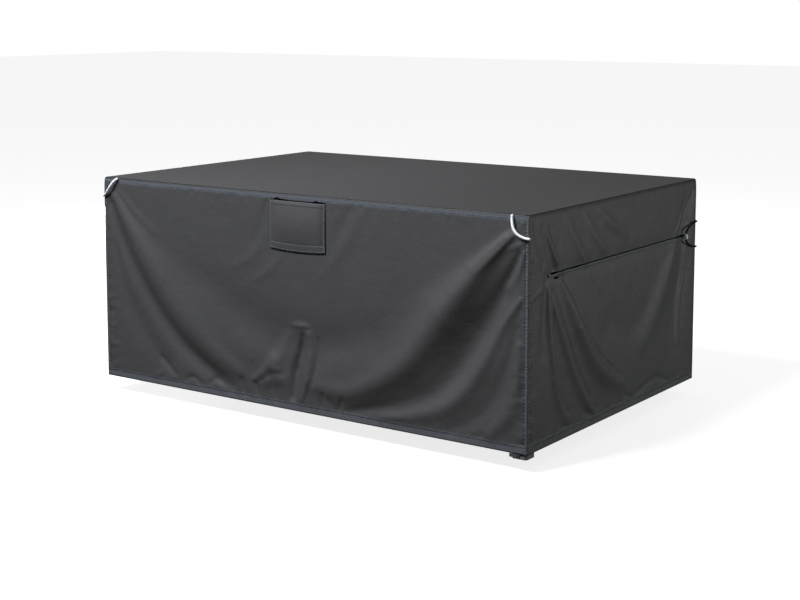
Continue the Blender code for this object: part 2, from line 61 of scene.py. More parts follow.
# ------------------------------------------------------------------ the cut of the cover
HALF_X = 0.900
HALF_Y = 0.600
DROP = 0.740
CLOTH = 0.0020
SEAM_GAP = 0.0003
BAND_EXTRA = 0.0008
BAND_CLOTH = 0.0032
HEADING = 0.012
HEM = 0.026
BAND_STEP = 0.0015
BINDING_RADIUS = 0.0032
SEAM_INSET = 0.0015
PANEL_INSET = 0.0045
TOP_CORNER = 0.012
CORNER_TUCK = 0.0026
TUCK_WIDTH = 0.015
TUCK_REACH = 0.012
CALM = 0.030
TOP_CALM = 0.030
FOLD_STEPS = 10
ROUTE_STEPS = 24

# The top's slack: its height, its length, the most that it rises, and how far from the edge it
# fades. Then how deep its edge rolls over, and how far in.
TOP_SLACK, TOP_SLACK_LENGTH, TOP_SLACK_LIMIT, TOP_SLACK_FADE = 0.0010, 0.26, 0.0006, 0.05
TOP_ROLL, TOP_ROLL_REACH = 0.0007, 0.0022

# Small gathers fade over these distances from the corner seams, the heading and the foot.
GATHER_SEAM_CALM = 0.008
GATHER_HEADING_CALM = 0.010
GATHER_HEM_CALM = 0.045

# Unevenness of the cloth: the height and length of its waves, and how far they reach. The pinch
# is beside the corner seams, the crimp along the heading and the hem. Where there are two
# values, the first is for the long sides and the second for the ends.
BROAD_HEIGHT, BROAD_LENGTH = 0.0011, 0.16
PINCH_HEIGHTS, PINCH_LENGTH, PINCH_REACH = (0.0022, 0.0009), 0.030, 0.026
CRIMP_HEIGHT, CRIMP_LENGTH = 0.0013, 0.024
CRIMP_SHARES, CRIMP_HEADING_REACH, CRIMP_HEM_REACH = (1.2, 0.3), 0.026, 0.022

# A side panel's grid is finer in a strip beside each corner seam and in the hem's upper part.
SEAM_STRIP, SEAM_CELLS = 0.024, 12
HEM_STRIP = 0.007

FLAP_WIDTH = 0.235
FLAP_X = 0.009
FLAP_TOP = -0.0235
FLAP_DROP = 0.1635
FLAP_SAG = 0.006
FLAP_HEM = 0.024
FLAP_HEAD = 0.013
FLAP_SIDE = 0.0070
FLAP_STAND = 0.0016
FLAP_CROWN = 0.0095
FLAP_ROUNDING = 1.6
FLAP_MARGIN = 0.015
FLAP_EASE = 0.015
FLAP_BAND_SHARE = 0.3
FLAP_HEM_SHADE = (0.22, 0.002, 0.0030)
FLAP_SIDE_SHADE = (0.25, 0.014, 0.0060)
FLAP_EDGE_HIGHLIGHT_REACH = 0.003

# The black strip over the flap, partly vent netting and partly painted shade for the shadowed gap:
# its narrowest height, tuck, lift and where it opens wider.
VENT_LINE = 0.0034
VENT_TUCK = 0.003
VENT_LIFT = 0.0005
VENT_GAPS = (
    (-0.38, 0.055, 0.0060), (-0.27, 0.05, 0.0022), (0.33, 0.05, 0.0050), (0.44, 0.06, 0.0026),
)

CHANNEL_TOP = -0.1945
CHANNEL_HEIGHT = 0.013
CHANNEL_START = -0.477
CHANNEL_END = 0.518
CHANNEL_TURN = 0.012
CHANNEL_BAND_SHARE = 0.3
CHANNEL_PUFF = (0.0007, 0.22)
CHANNEL_GROOVE = (0.0010, 0.10, 0.09)
CHANNEL_MARGIN = 0.002
CHANNEL_FADES = (0.006, 0.008)
# The black strip of painted shade in the channel's slit: its lift, its width and where it opens
# wider.
SLIT_LIFT = 0.0003
CHANNEL_SLIT = 0.0028
CHANNEL_GAPES = ((-0.446, 0.022, 0.0034), (-0.300, 0.045, 0.0016), (0.480, 0.040, 0.0030))
CHANNEL_CLOTH = 0.0018
CHANNEL_LIFT = 0.0002
CHANNEL_DRAW = 0.0030
DRAW_REACH = 0.030

# The black oval of painted shadow under the channel's near end: its place and size.
END_GAP_SHADOW_PLACE = (-0.428, -0.2130)
END_GAP_SHADOW_SIZE = (0.016, 0.0036)

LOCK_RADIUS = 0.0070
LOCK_HEIGHT = 0.018
LOCK_PLACE = (0.9075, 0.5070, -0.2000)

STRAP_SIZE = 0.054
STRAP_HEIGHT = 0.026
STRAP_CLOTH = 0.0016
STRAP_FOOT = -0.757
STRAP_CORNER = 0.009
STRAP_CLEAR = 0.0005
STRAP_SLACK = 0.0005
BUCKLE_SIZE = (0.024, 0.0030, 0.0136)
BUCKLE_PLACE = (0.8610, -0.5989, -0.7475)
BUCKLE_SLOT = ((0.0045, 0.0075), (-0.0052, 0.0052))
TAIL_LENGTH = 0.013
TAIL_OVERLAP = 0.0008

EDGE_X = HALF_X - PANEL_INSET
EDGE_Y = HALF_Y - PANEL_INSET
PANEL_TOP = -SEAM_GAP
HEM_TOP = HEM - DROP

# Rows of stitches, and how far they stand off the cloth as a share of the thread's thickness.
HEADING_STITCHES = 0.0015 - HEADING
HEM_STITCHES = HEM_TOP - 0.0020
CORNER_STITCHES = 0.0018
FLAP_STITCH_INSET = 0.0035
FLAP_FOOT_STITCHES = 0.004
CHANNEL_STITCH_SHARES = (0.26, 0.93)
STITCH_LIFT = 0.18
CHANNEL_STITCH_LIFT = 0.12

# ------------------------------------------------------------------ folds
# One row for each fold: the places that it runs through, its half width at each, and its height
# there. Heights above 0 stand out, below 0 sink in. Places are (along the panel, height). All in
# millimetres.
FOLD_COLUMNS = ("places", "half_widths", "heights")

FRONT_FOLDS = (
    # the swag from the right corner loop: its crest, the fullness above it and the hollow below
    (((848, -62), (740, -172), (598, -342), (458, -510), (300, -612), (190, -648), (76, -640)),
     (12, 34, 60, 56, 42, 34, 28), (5, 15, 27, 23, 14, 10, 5)),
    (((820, -72), (700, -200), (560, -320), (420, -450), (260, -545), (110, -590)),
     (14, 34, 60, 80, 80, 56), (3, 6, 8, 9, 8, 5)),
    (((868, -120), (812, -238), (730, -376), (645, -506),
      (560, -592), (440, -648), (300, -688), (205, -708)),
     (10, 30, 54, 54, 42, 28, 17, 12), (-6, -17, -24, -19, -10, -6, -5, -3)),
    # the second crest on the right and the folds beside the seam
    (((872, -262), (800, -362), (735, -480), (670, -572), (590, -640), (480, -682), (360, -706)),
     (10, 20, 29, 33, 31, 22, 16), (5, 10, 13, 12, 9, 5, 2)),
    (((858, -350), (828, -470), (780, -580), (710, -656), (620, -706)),
     (10, 20, 30, 30, 20), (-3, -5, -6, -5, -3)),
    (((872, -400), (866, -520), (835, -620), (770, -692)),
     (12, 22, 28, 20), (4, 7, 7, 4)),
    # the swag from the left corner loop
    (((-856, -62), (-790, -160), (-682, -304), (-590, -408),
      (-476, -508), (-350, -592), (-262, -636)),
     (12, 28, 46, 56, 58, 46, 28), (4, 8, 12, 14, 15, 12, 6)),
    (((-838, -62), (-765, -160), (-640, -288), (-500, -400), (-350, -500), (-180, -570)),
     (12, 28, 46, 62, 70, 50), (3, 5, 6, 6, 5, 3)),
    (((-866, -90), (-822, -205), (-742, -338), (-640, -466),
      (-520, -580), (-400, -650), (-290, -696)),
     (9, 20, 30, 35, 36, 28, 19), (-4, -5, -7, -8, -10, -9, -5)),
    (((-862, -240), (-806, -410), (-716, -548), (-600, -650)),
     (14, 36, 46, 34), (-2, -5, -6, -4)),
    # the slack between the two swags
    (((-460, -300), (-250, -430), (-60, -492), (140, -500), (330, -455), (520, -330)),
     (60, 80, 85, 85, 75, 60), (-2, -8, -10, -11, -8, -2)),
    # the small pinched pleat low in the middle
    (((50, -470), (54, -540), (48, -620), (28, -700)), (13, 17, 17, 13), (6, 9, 9, 5)),
    (((-38, -476), (-60, -534), (-92, -600)), (14, 26, 30), (2, 6, 12)),
    (((-64, -640), (-134, -650)), (26, 24), (6, 6)),
    (((20, -476), (10, -530), (-8, -600), (-18, -692)), (8, 14, 16, 15), (-3, -12, -16, -9)),
    (((88, -486), (84, -560), (70, -630)), (10, 13, 12), (-3, -6, -5)),
    (((-104, -570), (-142, -620), (-186, -652)), (20, 17, 13), (5, 6, 4)),
)

RIGHT_END_FOLDS = (
    # above the near end of the channel
    (((-520, -44), (-484, -112), (-442, -184)), (10, 15, 18), (-2, -3, -4)),
    (((-500, -50), (-456, -120), (-404, -185)), (12, 18, 24), (2, 5, 6)),
    (((-370, -40), (-306, -112), (-240, -184)), (14, 20, 20), (2, 5, 4)),
    (((-250, -32), (-186, -104), (-122, -160)), (14, 20, 20), (2, 5, 4)),
    (((-150, -32), (-58, -88), (40, -130)), (14, 20, 22), (2, 5, 2)),
    # fanning out below it
    (((-494, -228), (-500, -330), (-506, -440)), (11, 20, 24), (-3, -5, -3)),
    (((-476, -238), (-465, -356), (-444, -482), (-414, -584), (-358, -672)),
     (12, 16, 20, 24, 20), (3, 6, 8, 6, 3)),
    (((-460, -258), (-422, -337), (-362, -442), (-305, -537), (-244, -619), (-168, -702)),
     (12, 18, 24, 28, 26, 16), (3, 7, 8, 8, 7, 4)),
    (((-396, -234), (-342, -302), (-275, -392), (-193, -495), (-98, -575), (20, -642)),
     (14, 30, 38, 44, 44, 30), (4, 9, 13, 13, 11, 5)),
    # above the far end
    (((600, -28), (534, -112), (484, -178)), (30, 50, 40), (-4, -9, -4)),
    # below it
    (((440, -206), (365, -320), (290, -420), (200, -520)), (16, 40, 50, 50), (4, 8, 8, 4)),
    (((500, -228), (490, -320), (460, -410), (444, -500), (440, -580)),
     (20, 46, 56, 60, 50), (-4, -8, -9, -8, -3)),
    # the slack between the two ends
    (((-60, -420), (80, -470), (220, -420)), (50, 60, 50), (-3, -4, -3)),
)

BACK_FOLDS = (
    (((-850, -60), (-720, -230), (-560, -400), (-380, -540), (-180, -640)),
     (12, 36, 58, 64, 40), (5, 11, 15, 14, 6)),
    (((-868, -100), (-790, -290), (-660, -460), (-480, -610), (-300, -694)),
     (10, 28, 40, 38, 20), (-5, -11, -13, -11, -5)),
    (((852, -58), (740, -200), (600, -350), (430, -500), (230, -620)),
     (12, 34, 56, 64, 42), (5, 11, 15, 14, 6)),
    (((870, -98), (800, -270), (690, -440), (520, -590), (330, -694)),
     (10, 28, 40, 38, 20), (-5, -11, -13, -11, -5)),
    (((-70, -470), (-40, -580), (-62, -704)), (16, 26, 20), (3, 7, 4)),
    (((20, -480), (34, -590), (24, -704)), (14, 24, 18), (-3, -7, -4)),
)

LEFT_END_FOLDS = (
    (((-552, -60), (-440, -240), (-310, -400), (-120, -560), (60, -640)),
     (12, 34, 50, 50, 34), (4, 10, 12, 10, 4)),
    (((-568, -100), (-490, -300), (-370, -470), (-200, -620), (-60, -694)),
     (10, 26, 36, 34, 20), (-4, -9, -11, -9, -4)),
    (((552, -60), (470, -230), (370, -400), (250, -560), (130, -684)),
     (12, 30, 44, 44, 24), (4, 9, 11, 10, 4)),
    (((568, -110), (520, -300), (440, -470), (330, -624)),
     (10, 24, 34, 22), (-4, -9, -10, -5)),
)

# Small gathers, in the same columns: at the loops, under the heading, above the hem.
FRONT_GATHERS = (
    # by the right loop
    (((838, -52), (780, -105), (700, -178)), (7, 8, 12), (3, 3.5, 2)),
    (((846, -64), (790, -124), (730, -186)), (6, 7, 10), (3, 3, 1.5)),
    (((884, -118), (862, -180), (826, -232)), (8, 12, 14), (4, 6, 5)),
    (((884, -84), (836, -106)), (8, 8), (3, 2.5)),
    (((893, -10), (862, -46)), (5, 5), (1.4, 1.4)),
    # by the left loop
    (((-822, -48), (-741, -120), (-650, -185)), (8, 12, 18), (2, 2.5, 1.5)),
    (((-874, -95), (-850, -215), (-838, -330)), (7, 9, 12), (-3, -3, -1.5)),
    # beside the flap
    (((-128, -36), (-146, -100), (-180, -170)), (13, 20, 26), (-2.5, -3, -1.5)),
    (((-140, -150), (-186, -222), (-268, -262)), (18, 22, 16), (1.5, 2.5, 1.5)),
    (((-72, -222), (-112, -262), (-170, -300)), (12, 18, 16), (1.5, 2.5, 1.5)),
    (((262, -52), (220, -130), (140, -228)), (18, 26, 24), (1.5, 2.5, 1.5)),
    (((224, -40), (186, -110), (140, -170)), (16, 22, 20), (-2, -2.5, -1)),
    # under the heading
    (((-663, -16), (-663, -24)), (9, 12), (-1.2, -0.4)),
    (((-533, -16), (-533, -26)), (11, 14), (-1.5, -0.5)),
    (((-530, -50), (-528, -120)), (10, 14), (0.8, 0.6)),
    (((-462, -16), (-462, -24)), (10, 12), (-1.2, -0.4)),
    (((-378, -16), (-378, -28)), (16, 18), (-1.8, -0.5)),
    (((-376, -60), (-378, -150)), (12, 18), (0.9, 0.7)),
    (((-292, -16), (-292, -28)), (14, 16), (-1.8, -0.5)),
    (((-288, -50), (-286, -130)), (12, 16), (0.9, 0.6)),
    (((-225, -40), (-222, -110)), (12, 14), (0.7, 0.5)),
    (((92, -16), (92, -24)), (12, 12), (-1.0, -0.4)),
    (((172, -55), (172, -66)), (10, 12), (1.0, 0.8)),
    (((272, -16), (270, -26)), (10, 12), (-1.2, -0.4)),
    (((290, -16), (289, -34)), (7, 9), (1.2, 0.6)),
    (((345, -40), (338, -110)), (12, 16), (0.7, 0.5)),
    # in the pleat and above the hem
    (((-24, -446), (12, -444), (50, -445)), (8, 11, 8), (2, 6.5, 3)),
    (((-12, -466), (14, -464), (40, -465)), (12, 15, 12), (1, 4.5, 1.5)),
    (((-6, -490), (12, -488), (30, -489)), (14, 18, 14), (0.5, 2.5, 1)),
    (((54, -648), (30, -706)), (10, 10), (-3.5, -4)),
    (((112, -668), (108, -712)), (9, 10), (-3, -3)),
    (((196, -672), (176, -712)), (10, 11), (-2.5, -3)),
    (((-60, -620), (-108, -624), (-150, -652)), (7, 9, 9), (-2, -3, -3)),
    (((-106, -640), (-92, -712)), (9, 10), (-4, -4)),
    (((-196, -600), (-192, -642)), (9, 9), (-2.5, -2.5)),
    (((-244, -664), (-232, -712)), (10, 12), (-4, -4)),
    (((-184, -672), (-170, -712)), (10, 12), (-4.5, -4)),
    (((-628, -640), (-600, -662), (-560, -690)), (13, 13, 10), (-4.5, -4.5, -3)),
    (((-504, -700), (-476, -690), (-436, -708)), (9, 10, 9), (-3, -4, -3)),
    (((-400, -704), (-366, -680), (-326, -694)), (9, 10, 9), (-2.5, -3.5, -2.5)),
    (((-652, -706), (-628, -696)), (9, 9), (2, 2)),
    (((-590, -708), (-560, -704)), (10, 9), (2, 1.5)),
    (((-345, -708), (-372, -702)), (9, 9), (1.5, 1.5)),
    (((140, -684), (150, -712)), (9, 11), (-2.5, -2)),
    (((352, -706), (440, -690)), (9, 9), (1.5, 1)),
    (((738, -704), (706, -714)), (9, 10), (-2, -2)),
)

END_GATHERS = (
    # the sharp drops beside the crests of the folds
    (((-480, -50), (-436, -118), (-384, -183)), (7, 8, 9), (-2, -4, -4)),
    (((-461, -236), (-449, -356), (-427, -478), (-397, -576), (-344, -664)),
     (6, 7, 9, 11, 10), (-2, -4, -5, -4, -2)),
    (((-446, -248), (-406, -325), (-345, -431), (-289, -525), (-229, -607), (-154, -692)),
     (6, 7, 8, 9, 9, 8), (-3, -5, -6, -6, -5, -2)),
    (((-379, -224), (-323, -290), (-255, -378), (-173, -479), (-80, -556), (36, -624)),
     (7, 8, 9, 11, 12, 12), (-3, -5, -6, -7, -6, -2)),
    (((566, -28), (497, -112), (441, -182)), (8, 9, 9), (2, 4, 4)),
    (((523, -230), (514, -320), (487, -410), (473, -500), (470, -580)),
     (7, 9, 11, 13, 13), (3, 6, 6, 4, 1)),
    # by the channel's ends and above the hem
    (((-570, -40), (-540, -110), (-512, -168)), (8, 10, 10), (-2.5, -3, -3)),
    (((-586, -132), (-545, -155), (-502, -180)), (7, 8, 8), (1.2, 1.5, 1.5)),
    (((-586, -262), (-535, -246), (-492, -230)), (7, 8, 8), (1.2, 1.5, 1.5)),
    (((550, -64), (514, -124), (476, -184)), (9, 12, 12), (-2, -3, -3)),
    (((582, -100), (556, -144), (526, -184)), (8, 11, 10), (2, 3, 2)),
    (((500, -186), (512, -160)), (5, 5), (-2, -1.5)),
    (((-208, -235), (-152, -291)), (12, 16), (1.5, 1)),
    (((-376, -700), (-322, -714)), (9, 9), (-2, -2)),
    (((-240, -680), (-156, -714)), (10, 10), (-2, -2)),
    (((56, -684), (100, -712)), (10, 10), (-2.5, -2)),
    (((130, -706), (290, -676), (396, -708)), (10, 12, 10), (-2, -2.5, -2)),
)

# Cord routes, in metres, each read from one end to the other.
RIGHT_LOOP = (
    (0.8440, -0.6057, 0.0020), (0.8442, -0.6066, -0.0100), (0.8462, -0.6095, -0.0220),
    (0.8505, -0.6125, -0.0350), (0.8575, -0.6140, -0.0470), (0.8670, -0.6138, -0.0570),
    (0.8785, -0.6110, -0.0640), (0.8890, -0.6075, -0.0680), (0.8980, -0.6059, -0.0696),
    (0.9075, -0.6050, -0.0700),
)
LEFT_LOOP = (
    (-0.8255, -0.6057, 0.0010), (-0.8340, -0.6075, -0.0040), (-0.8440, -0.6110, -0.0125),
    (-0.8530, -0.6135, -0.0235), (-0.8625, -0.6140, -0.0350), (-0.8725, -0.6125, -0.0465),
    (-0.8830, -0.6090, -0.0565), (-0.8940, -0.6064, -0.0635), (-0.9050, -0.6052, -0.0680),
)
UPPER_ELASTIC = (
    (0.9075, 0.5075, -0.1896), (0.9077, 0.5090, -0.1842), (0.9078, 0.5175, -0.1757),
    (0.9075, 0.5320, -0.1686), (0.9070, 0.5500, -0.1628), (0.9065, 0.5690, -0.1585),
    (0.9060, 0.5870, -0.1560), (0.9056, 0.5970, -0.1552), (0.9032, 0.6032, -0.1547),
    (0.8970, 0.6060, -0.1543), (0.8860, 0.6059, -0.1540), (0.8740, 0.6050, -0.1538),
)
LOWER_ELASTIC = (
    (0.9075, 0.5075, -0.2106), (0.9077, 0.5095, -0.2160), (0.9077, 0.5190, -0.2240),
    (0.9073, 0.5340, -0.2320), (0.9068, 0.5520, -0.2388), (0.9064, 0.5700, -0.2436),
    (0.9060, 0.5880, -0.2464), (0.9056, 0.5970, -0.2473), (0.9032, 0.6032, -0.2479),
    (0.8970, 0.6060, -0.2483), (0.8860, 0.6059, -0.2486), (0.8740, 0.6050, -0.2488),
)


# ------------------------------------------------------------------ settings
def colour_property(name, description, default):
    return FloatVectorProperty(
        name=name, description=description, default=default, subtype="COLOR", min=0.0, max=1.0
    )


def length_property(name, description, default):
    return FloatProperty(
        name=name, description=description, default=default, unit="LENGTH", min=0.0, precision=4
    )


def power_property(name, description, default):
    return FloatProperty(name=name, description=description, default=default, unit="POWER")


class CoverClothSettings(bpy.types.PropertyGroup):
    """Sizes and colours of the cloth."""

    colour: colour_property("Cloth", "Outer face of the coated cloth", (0.0570, 0.0572, 0.0590))
    band_colour: colour_property("Bands", "Heading and hems", (0.096, 0.104, 0.117))
    # Bluish tone of the sewn edges, lightened as a painted highlight where the rolled seams catch
    # the light.
    edge_highlight_colour: colour_property("Sewn edges", "Edges of the bands", (0.134, 0.151, 0.182))
    binding_colour: colour_property("Binding", "Binding of the corner seams", (0.050, 0.056, 0.070))
    inner_colour: colour_property("Coating", "Coating on the inside", (0.090, 0.091, 0.094))
    thread_colour: colour_property("Thread", "Stitching thread", (0.130, 0.190, 0.280))
    yarn: length_property("Yarn", "Width of one yarn of the weave", 0.0007)
    thread: length_property("Thread thickness", "Thickness of the stitching thread", 0.0010)
    stitch: length_property("Stitch", "Distance from one stitch to the next", 0.0050)
    fold_depth: FloatProperty(
        name="Fold depth", description="Share of the folds' full depth", default=1.0,
        min=0.0, max=1.2, subtype="FACTOR",
    )


class CoverCordSettings(bpy.types.PropertyGroup):
    """Sizes and colours of the cords, the lock and the strap."""

    loop_diameter: length_property("Loop cord", "Diameter of the corner loops", 0.0090)
    loop_colour: colour_property("Loop cord", "Colour of the corner loops", (0.80, 0.83, 0.86))
    elastic_diameter: length_property("Elastic", "Diameter of the elastic", 0.0064)
    elastic_colour: colour_property("Elastic", "Colour of the elastic", (0.006, 0.006, 0.007))
    lock_colour: colour_property("Lock", "Colour of the cord lock", (0.82, 0.89, 0.92))
    webbing_colour: colour_property("Webbing", "Colour of the leg strap", (0.105, 0.098, 0.108))
    buckle_colour: colour_property("Buckle", "Colour of the strap's slide", (0.060, 0.062, 0.066))


class CoverStageSettings(bpy.types.PropertyGroup):
    """Floor, light and camera."""

    floor_height: length_property("Floor", "Depth of the floor under the top", 0.800)
    floor_colour: colour_property("Floor", "Colour of the floor", (0.45, 0.45, 0.45))
    key_power: power_property("Key light", "Power of the soft key light", 339.0)
    end_power: power_property("End light", "Power of the light on the right end", 59.0)
    back_power: power_property("Back light", "Power of the light on the hidden sides", 190.0)
    surround: FloatProperty(
        name="Surround", description="Light from the sky of the surround", default=0.30, min=0.0
    )
    below: FloatProperty(
        name="Below", description="Light from under the horizon", default=0.06, min=0.0
    )
    lens: FloatProperty(
        name="Lens", description="Focal length of the camera", default=68.75, unit="CAMERA"
    )


# ------------------------------------------------------------------ shapes of the cloth
def spline(a, b, c, d, t):
    """The point at share t of the smooth curve from b to c, with a before them and d after."""
    return 0.5 * (
        2 * b + (c - a) * t + (2 * a - 5 * b + 4 * c - d) * t**2 + (3 * b - a - 3 * c + d) * t**3
    )


def bell(distance, reach):
    """1 at a distance of 0, falling softly towards 0 beyond the reach."""
    return np.exp(-((distance / reach) ** 2))


def bumps(place, rows):
    """The sum of soft bumps, each row as (middle, reach, height)."""
    return sum(height * bell(place - middle, reach) for middle, reach, height in rows)


def curve_through(places, steps):
    """Points on a smooth curve through a fold's places, steps of them to each stretch."""
    knots = np.array(places, float) * MM
    knots = np.vstack((2 * knots[0] - knots[1], knots, 2 * knots[-1] - knots[-2]))
    t = np.linspace(0.0, 1.0, steps, endpoint=False)[:, None]
    stretches = [spline(*four, t) for four in zip(knots, knots[1:], knots[2:], knots[3:])]
    return np.vstack((*stretches, knots[-2:-1]))


def fold_height(folds, along, z):
    """How far the cloth stands out at many places at once, in metres, summed over the folds."""
    total = np.zeros_like(along)
    for row in folds:
        fold = dict(zip(FOLD_COLUMNS, row))
        line = curve_through(fold["places"], FOLD_STEPS)
        reach = 3.0 * MM * max(fold["half_widths"])
        low, high = line.min(axis=0) - reach, line.max(axis=0) + reach
        near = np.flatnonzero(
            (along > low[0]) & (along < high[0]) & (z > low[1]) & (z < high[1])
        )
        points = np.stack((along[near], z[near]), axis=1)
        step = line[1:] - line[:-1]
        offset = points[:, None, :] - line[None, :-1, :]
        part = np.clip((offset * step).sum(axis=2) / (step**2).sum(axis=1), 0.0, 1.0)
        away = np.linalg.norm(offset - part[:, :, None] * step, axis=2)
        nearest = away.argmin(axis=1)
        pick = np.arange(len(near))
        station = (nearest + part[pick, nearest]) / FOLD_STEPS
        stations_at = range(len(fold["places"]))
        width = MM * np.interp(station, stations_at, fold["half_widths"])
        height = MM * np.interp(station, stations_at, fold["heights"])
        total[near] += height * bell(away[pick, nearest], width)
    return total


def smooth_step(value):
    value = np.clip(value, 0.0, 1.0)
    return value * value * (3 - 2 * value)


def corner_tuck(from_corner, z):
    """How far the cloth draws in under the top panel's rounded corners."""
    return CORNER_TUCK * bell(from_corner, TUCK_WIDTH) * np.exp(z / TUCK_REACH)


def unevenness(along, z, seed, size, octaves):
    """Seeded soft noise, from about -1 to 1, at many places."""
    return np.array([
        noise.fractal(Vector((a / size, h / size, seed)), 1.0, 2.0, octaves)
        for a, h in zip(along, z)
    ])


class Side:
    """One upright side of the cover: where its cloth is, and which way it faces."""

    def __init__(self, outward, folds, gathers, seed):
        self.outward = np.array(outward, float)
        self.along = np.array((abs(outward[1]), abs(outward[0]), 0.0))
        self.half, self.depth = (HALF_X, HALF_Y) if outward[1] else (HALF_Y, HALF_X)
        self.folds = folds
        self.gathers = gathers
        self.seed = seed
        self.is_front = outward[1] < 0
        self.is_right_end = outward[0] > 0
        self.has_heading = bool(outward[1])
        self.pinch = PINCH_HEIGHTS[0 if self.has_heading else 1]
        self.crimp = CRIMP_SHARES[0 if self.has_heading else 1]

    def band_share(self, z):
        """1 on the hem, and on the heading band of the long sides, 0 on the panel between them."""
        heading = self.has_heading * smooth_step((z + HEADING + BAND_STEP) / BAND_STEP)
        hem = smooth_step((HEM_TOP + BAND_STEP - z) / BAND_STEP)
        return np.maximum(heading, hem)

    def held_flat(self, along, z):
        """1 where a sewn-on piece holds the panel flat, under the vent flap."""
        if not self.is_front:
            return np.zeros_like(along)
        across = smooth_step((FLAP_WIDTH / 2 + FLAP_MARGIN - np.abs(along - FLAP_X)) / FLAP_EASE)
        down = smooth_step((z - (FLAP_TOP - FLAP_DROP - FLAP_MARGIN)) / FLAP_EASE)
        return across * down

    def past_channel(self, along):
        """How far a place is past either end of the drawcord channel."""
        return np.maximum(0.0, np.maximum(CHANNEL_START - along, along - CHANNEL_END))

    def drawn_in(self, along, z):
        """How far the drawcord pulls the right end in along the line of its channel."""
        if not self.is_right_end:
            return np.zeros_like(along)
        away = np.hypot(z - CHANNEL_TOP + CHANNEL_HEIGHT / 2, self.past_channel(along))
        return CHANNEL_DRAW * bell(away, DRAW_REACH)

    def on_channel(self, along, z):
        """1 under the drawcord channel, where small gathers would come through it."""
        if not self.is_right_end:
            return np.zeros_like(along)
        middle = CHANNEL_TOP - CHANNEL_HEIGHT / 2
        beyond = np.maximum(0.0, np.abs(z - middle) - CHANNEL_HEIGHT / 2 - CHANNEL_MARGIN)
        return bell(beyond, CHANNEL_FADES[0]) * bell(self.past_channel(along), CHANNEL_FADES[1])

    def stand(self, along, z, depth_share):
        """How far the cloth stands out of the side's plane, folds and small gathers together."""
        from_corner = self.half - np.abs(along)
        from_seam = from_corner - PANEL_INSET
        at_top = smooth_step((-z - HEADING) / TOP_CALM)
        large = fold_height(self.folds, along, z) * smooth_step(from_seam / CALM) * at_top
        small = fold_height(self.gathers, along, z) + self.ripples(along, z, from_corner)
        small *= smooth_step(from_seam / GATHER_SEAM_CALM)
        small *= smooth_step((-z - HEADING) / GATHER_HEADING_CALM)
        small *= smooth_step((z + DROP) / GATHER_HEM_CALM)
        small *= 1.0 - self.on_channel(along, z)
        free = 1.0 - self.held_flat(along, z)
        return depth_share * (large + small) * free - self.drawn_in(along, z)

    def ripples(self, along, z, from_corner):
        """Slight unevenness of the cloth, and the small wrinkles beside the corner seams."""
        broad = BROAD_HEIGHT * unevenness(along, z, self.seed, BROAD_LENGTH, 3)
        pinched = self.pinch * unevenness(along * 0.45, z, self.seed + 7.0, PINCH_LENGTH, 2)
        low = 1.0 + smooth_step((-z - 0.30) / 0.2)
        beside_seam = low * bell(from_corner, PINCH_REACH * low)
        under_heading = self.crimp * bell(z + HEADING, CRIMP_HEADING_REACH)
        over_hem = bell(z - HEM_TOP, CRIMP_HEM_REACH)
        crimped = CRIMP_HEIGHT * unevenness(along, z * 0.35, self.seed + 3.0, CRIMP_LENGTH, 2)
        return (
            broad * smooth_step(from_corner / CALM)
            + pinched * beside_seam
            + crimped * np.maximum(under_heading, over_hem)
        )

    def place(self, along, z, depth_share, lift=0.0):
        """Points of the outer face, or of a layer lifted off it."""
        tuck = corner_tuck(self.half - np.abs(along), z)
        out = self.depth + self.stand(along, z, depth_share) - tuck
        out = out + BAND_EXTRA * self.band_share(z) + lift
        across = along - np.copysign(tuck, along)
        points = np.outer(across, self.along) + np.outer(out, self.outward)
        points[:, 2] = z
        return points


FRONT = Side((0, -1, 0), FRONT_FOLDS, FRONT_GATHERS, 1.0)
BACK = Side((0, 1, 0), BACK_FOLDS, (), 11.0)
RIGHT_END = Side((1, 0, 0), RIGHT_END_FOLDS, END_GATHERS, 21.0)
LEFT_END = Side((-1, 0, 0), LEFT_END_FOLDS, (), 31.0)


def stations(breaks):
    """Positions from (end of stretch, cells in it) rows; the first row gives only the start."""
    places = [breaks[0][0]]
    for end, cells in breaks[1:]:
        start = places[-1]
        places += [start + (end - start) * (i + 1) / cells for i in range(cells)]
    return places


def side_columns(edge, cells):
    """Places of a side panel's columns, closer together beside its corner seams."""
    inner = edge - SEAM_STRIP
    return stations(((-edge, 0), (-inner, SEAM_CELLS), (inner, cells), (edge, SEAM_CELLS)))


def side_rows(cells):
    """Heights of a side panel's rows, closer together at its heading and hem."""
    return stations((
        (PANEL_TOP, 0), (-HEADING, 5), (-HEADING - BAND_STEP, 2),
        (HEM_TOP + BAND_STEP, cells), (HEM_TOP, 2), (HEM_TOP - HEM_STRIP, 5), (-DROP, 4),
    ))


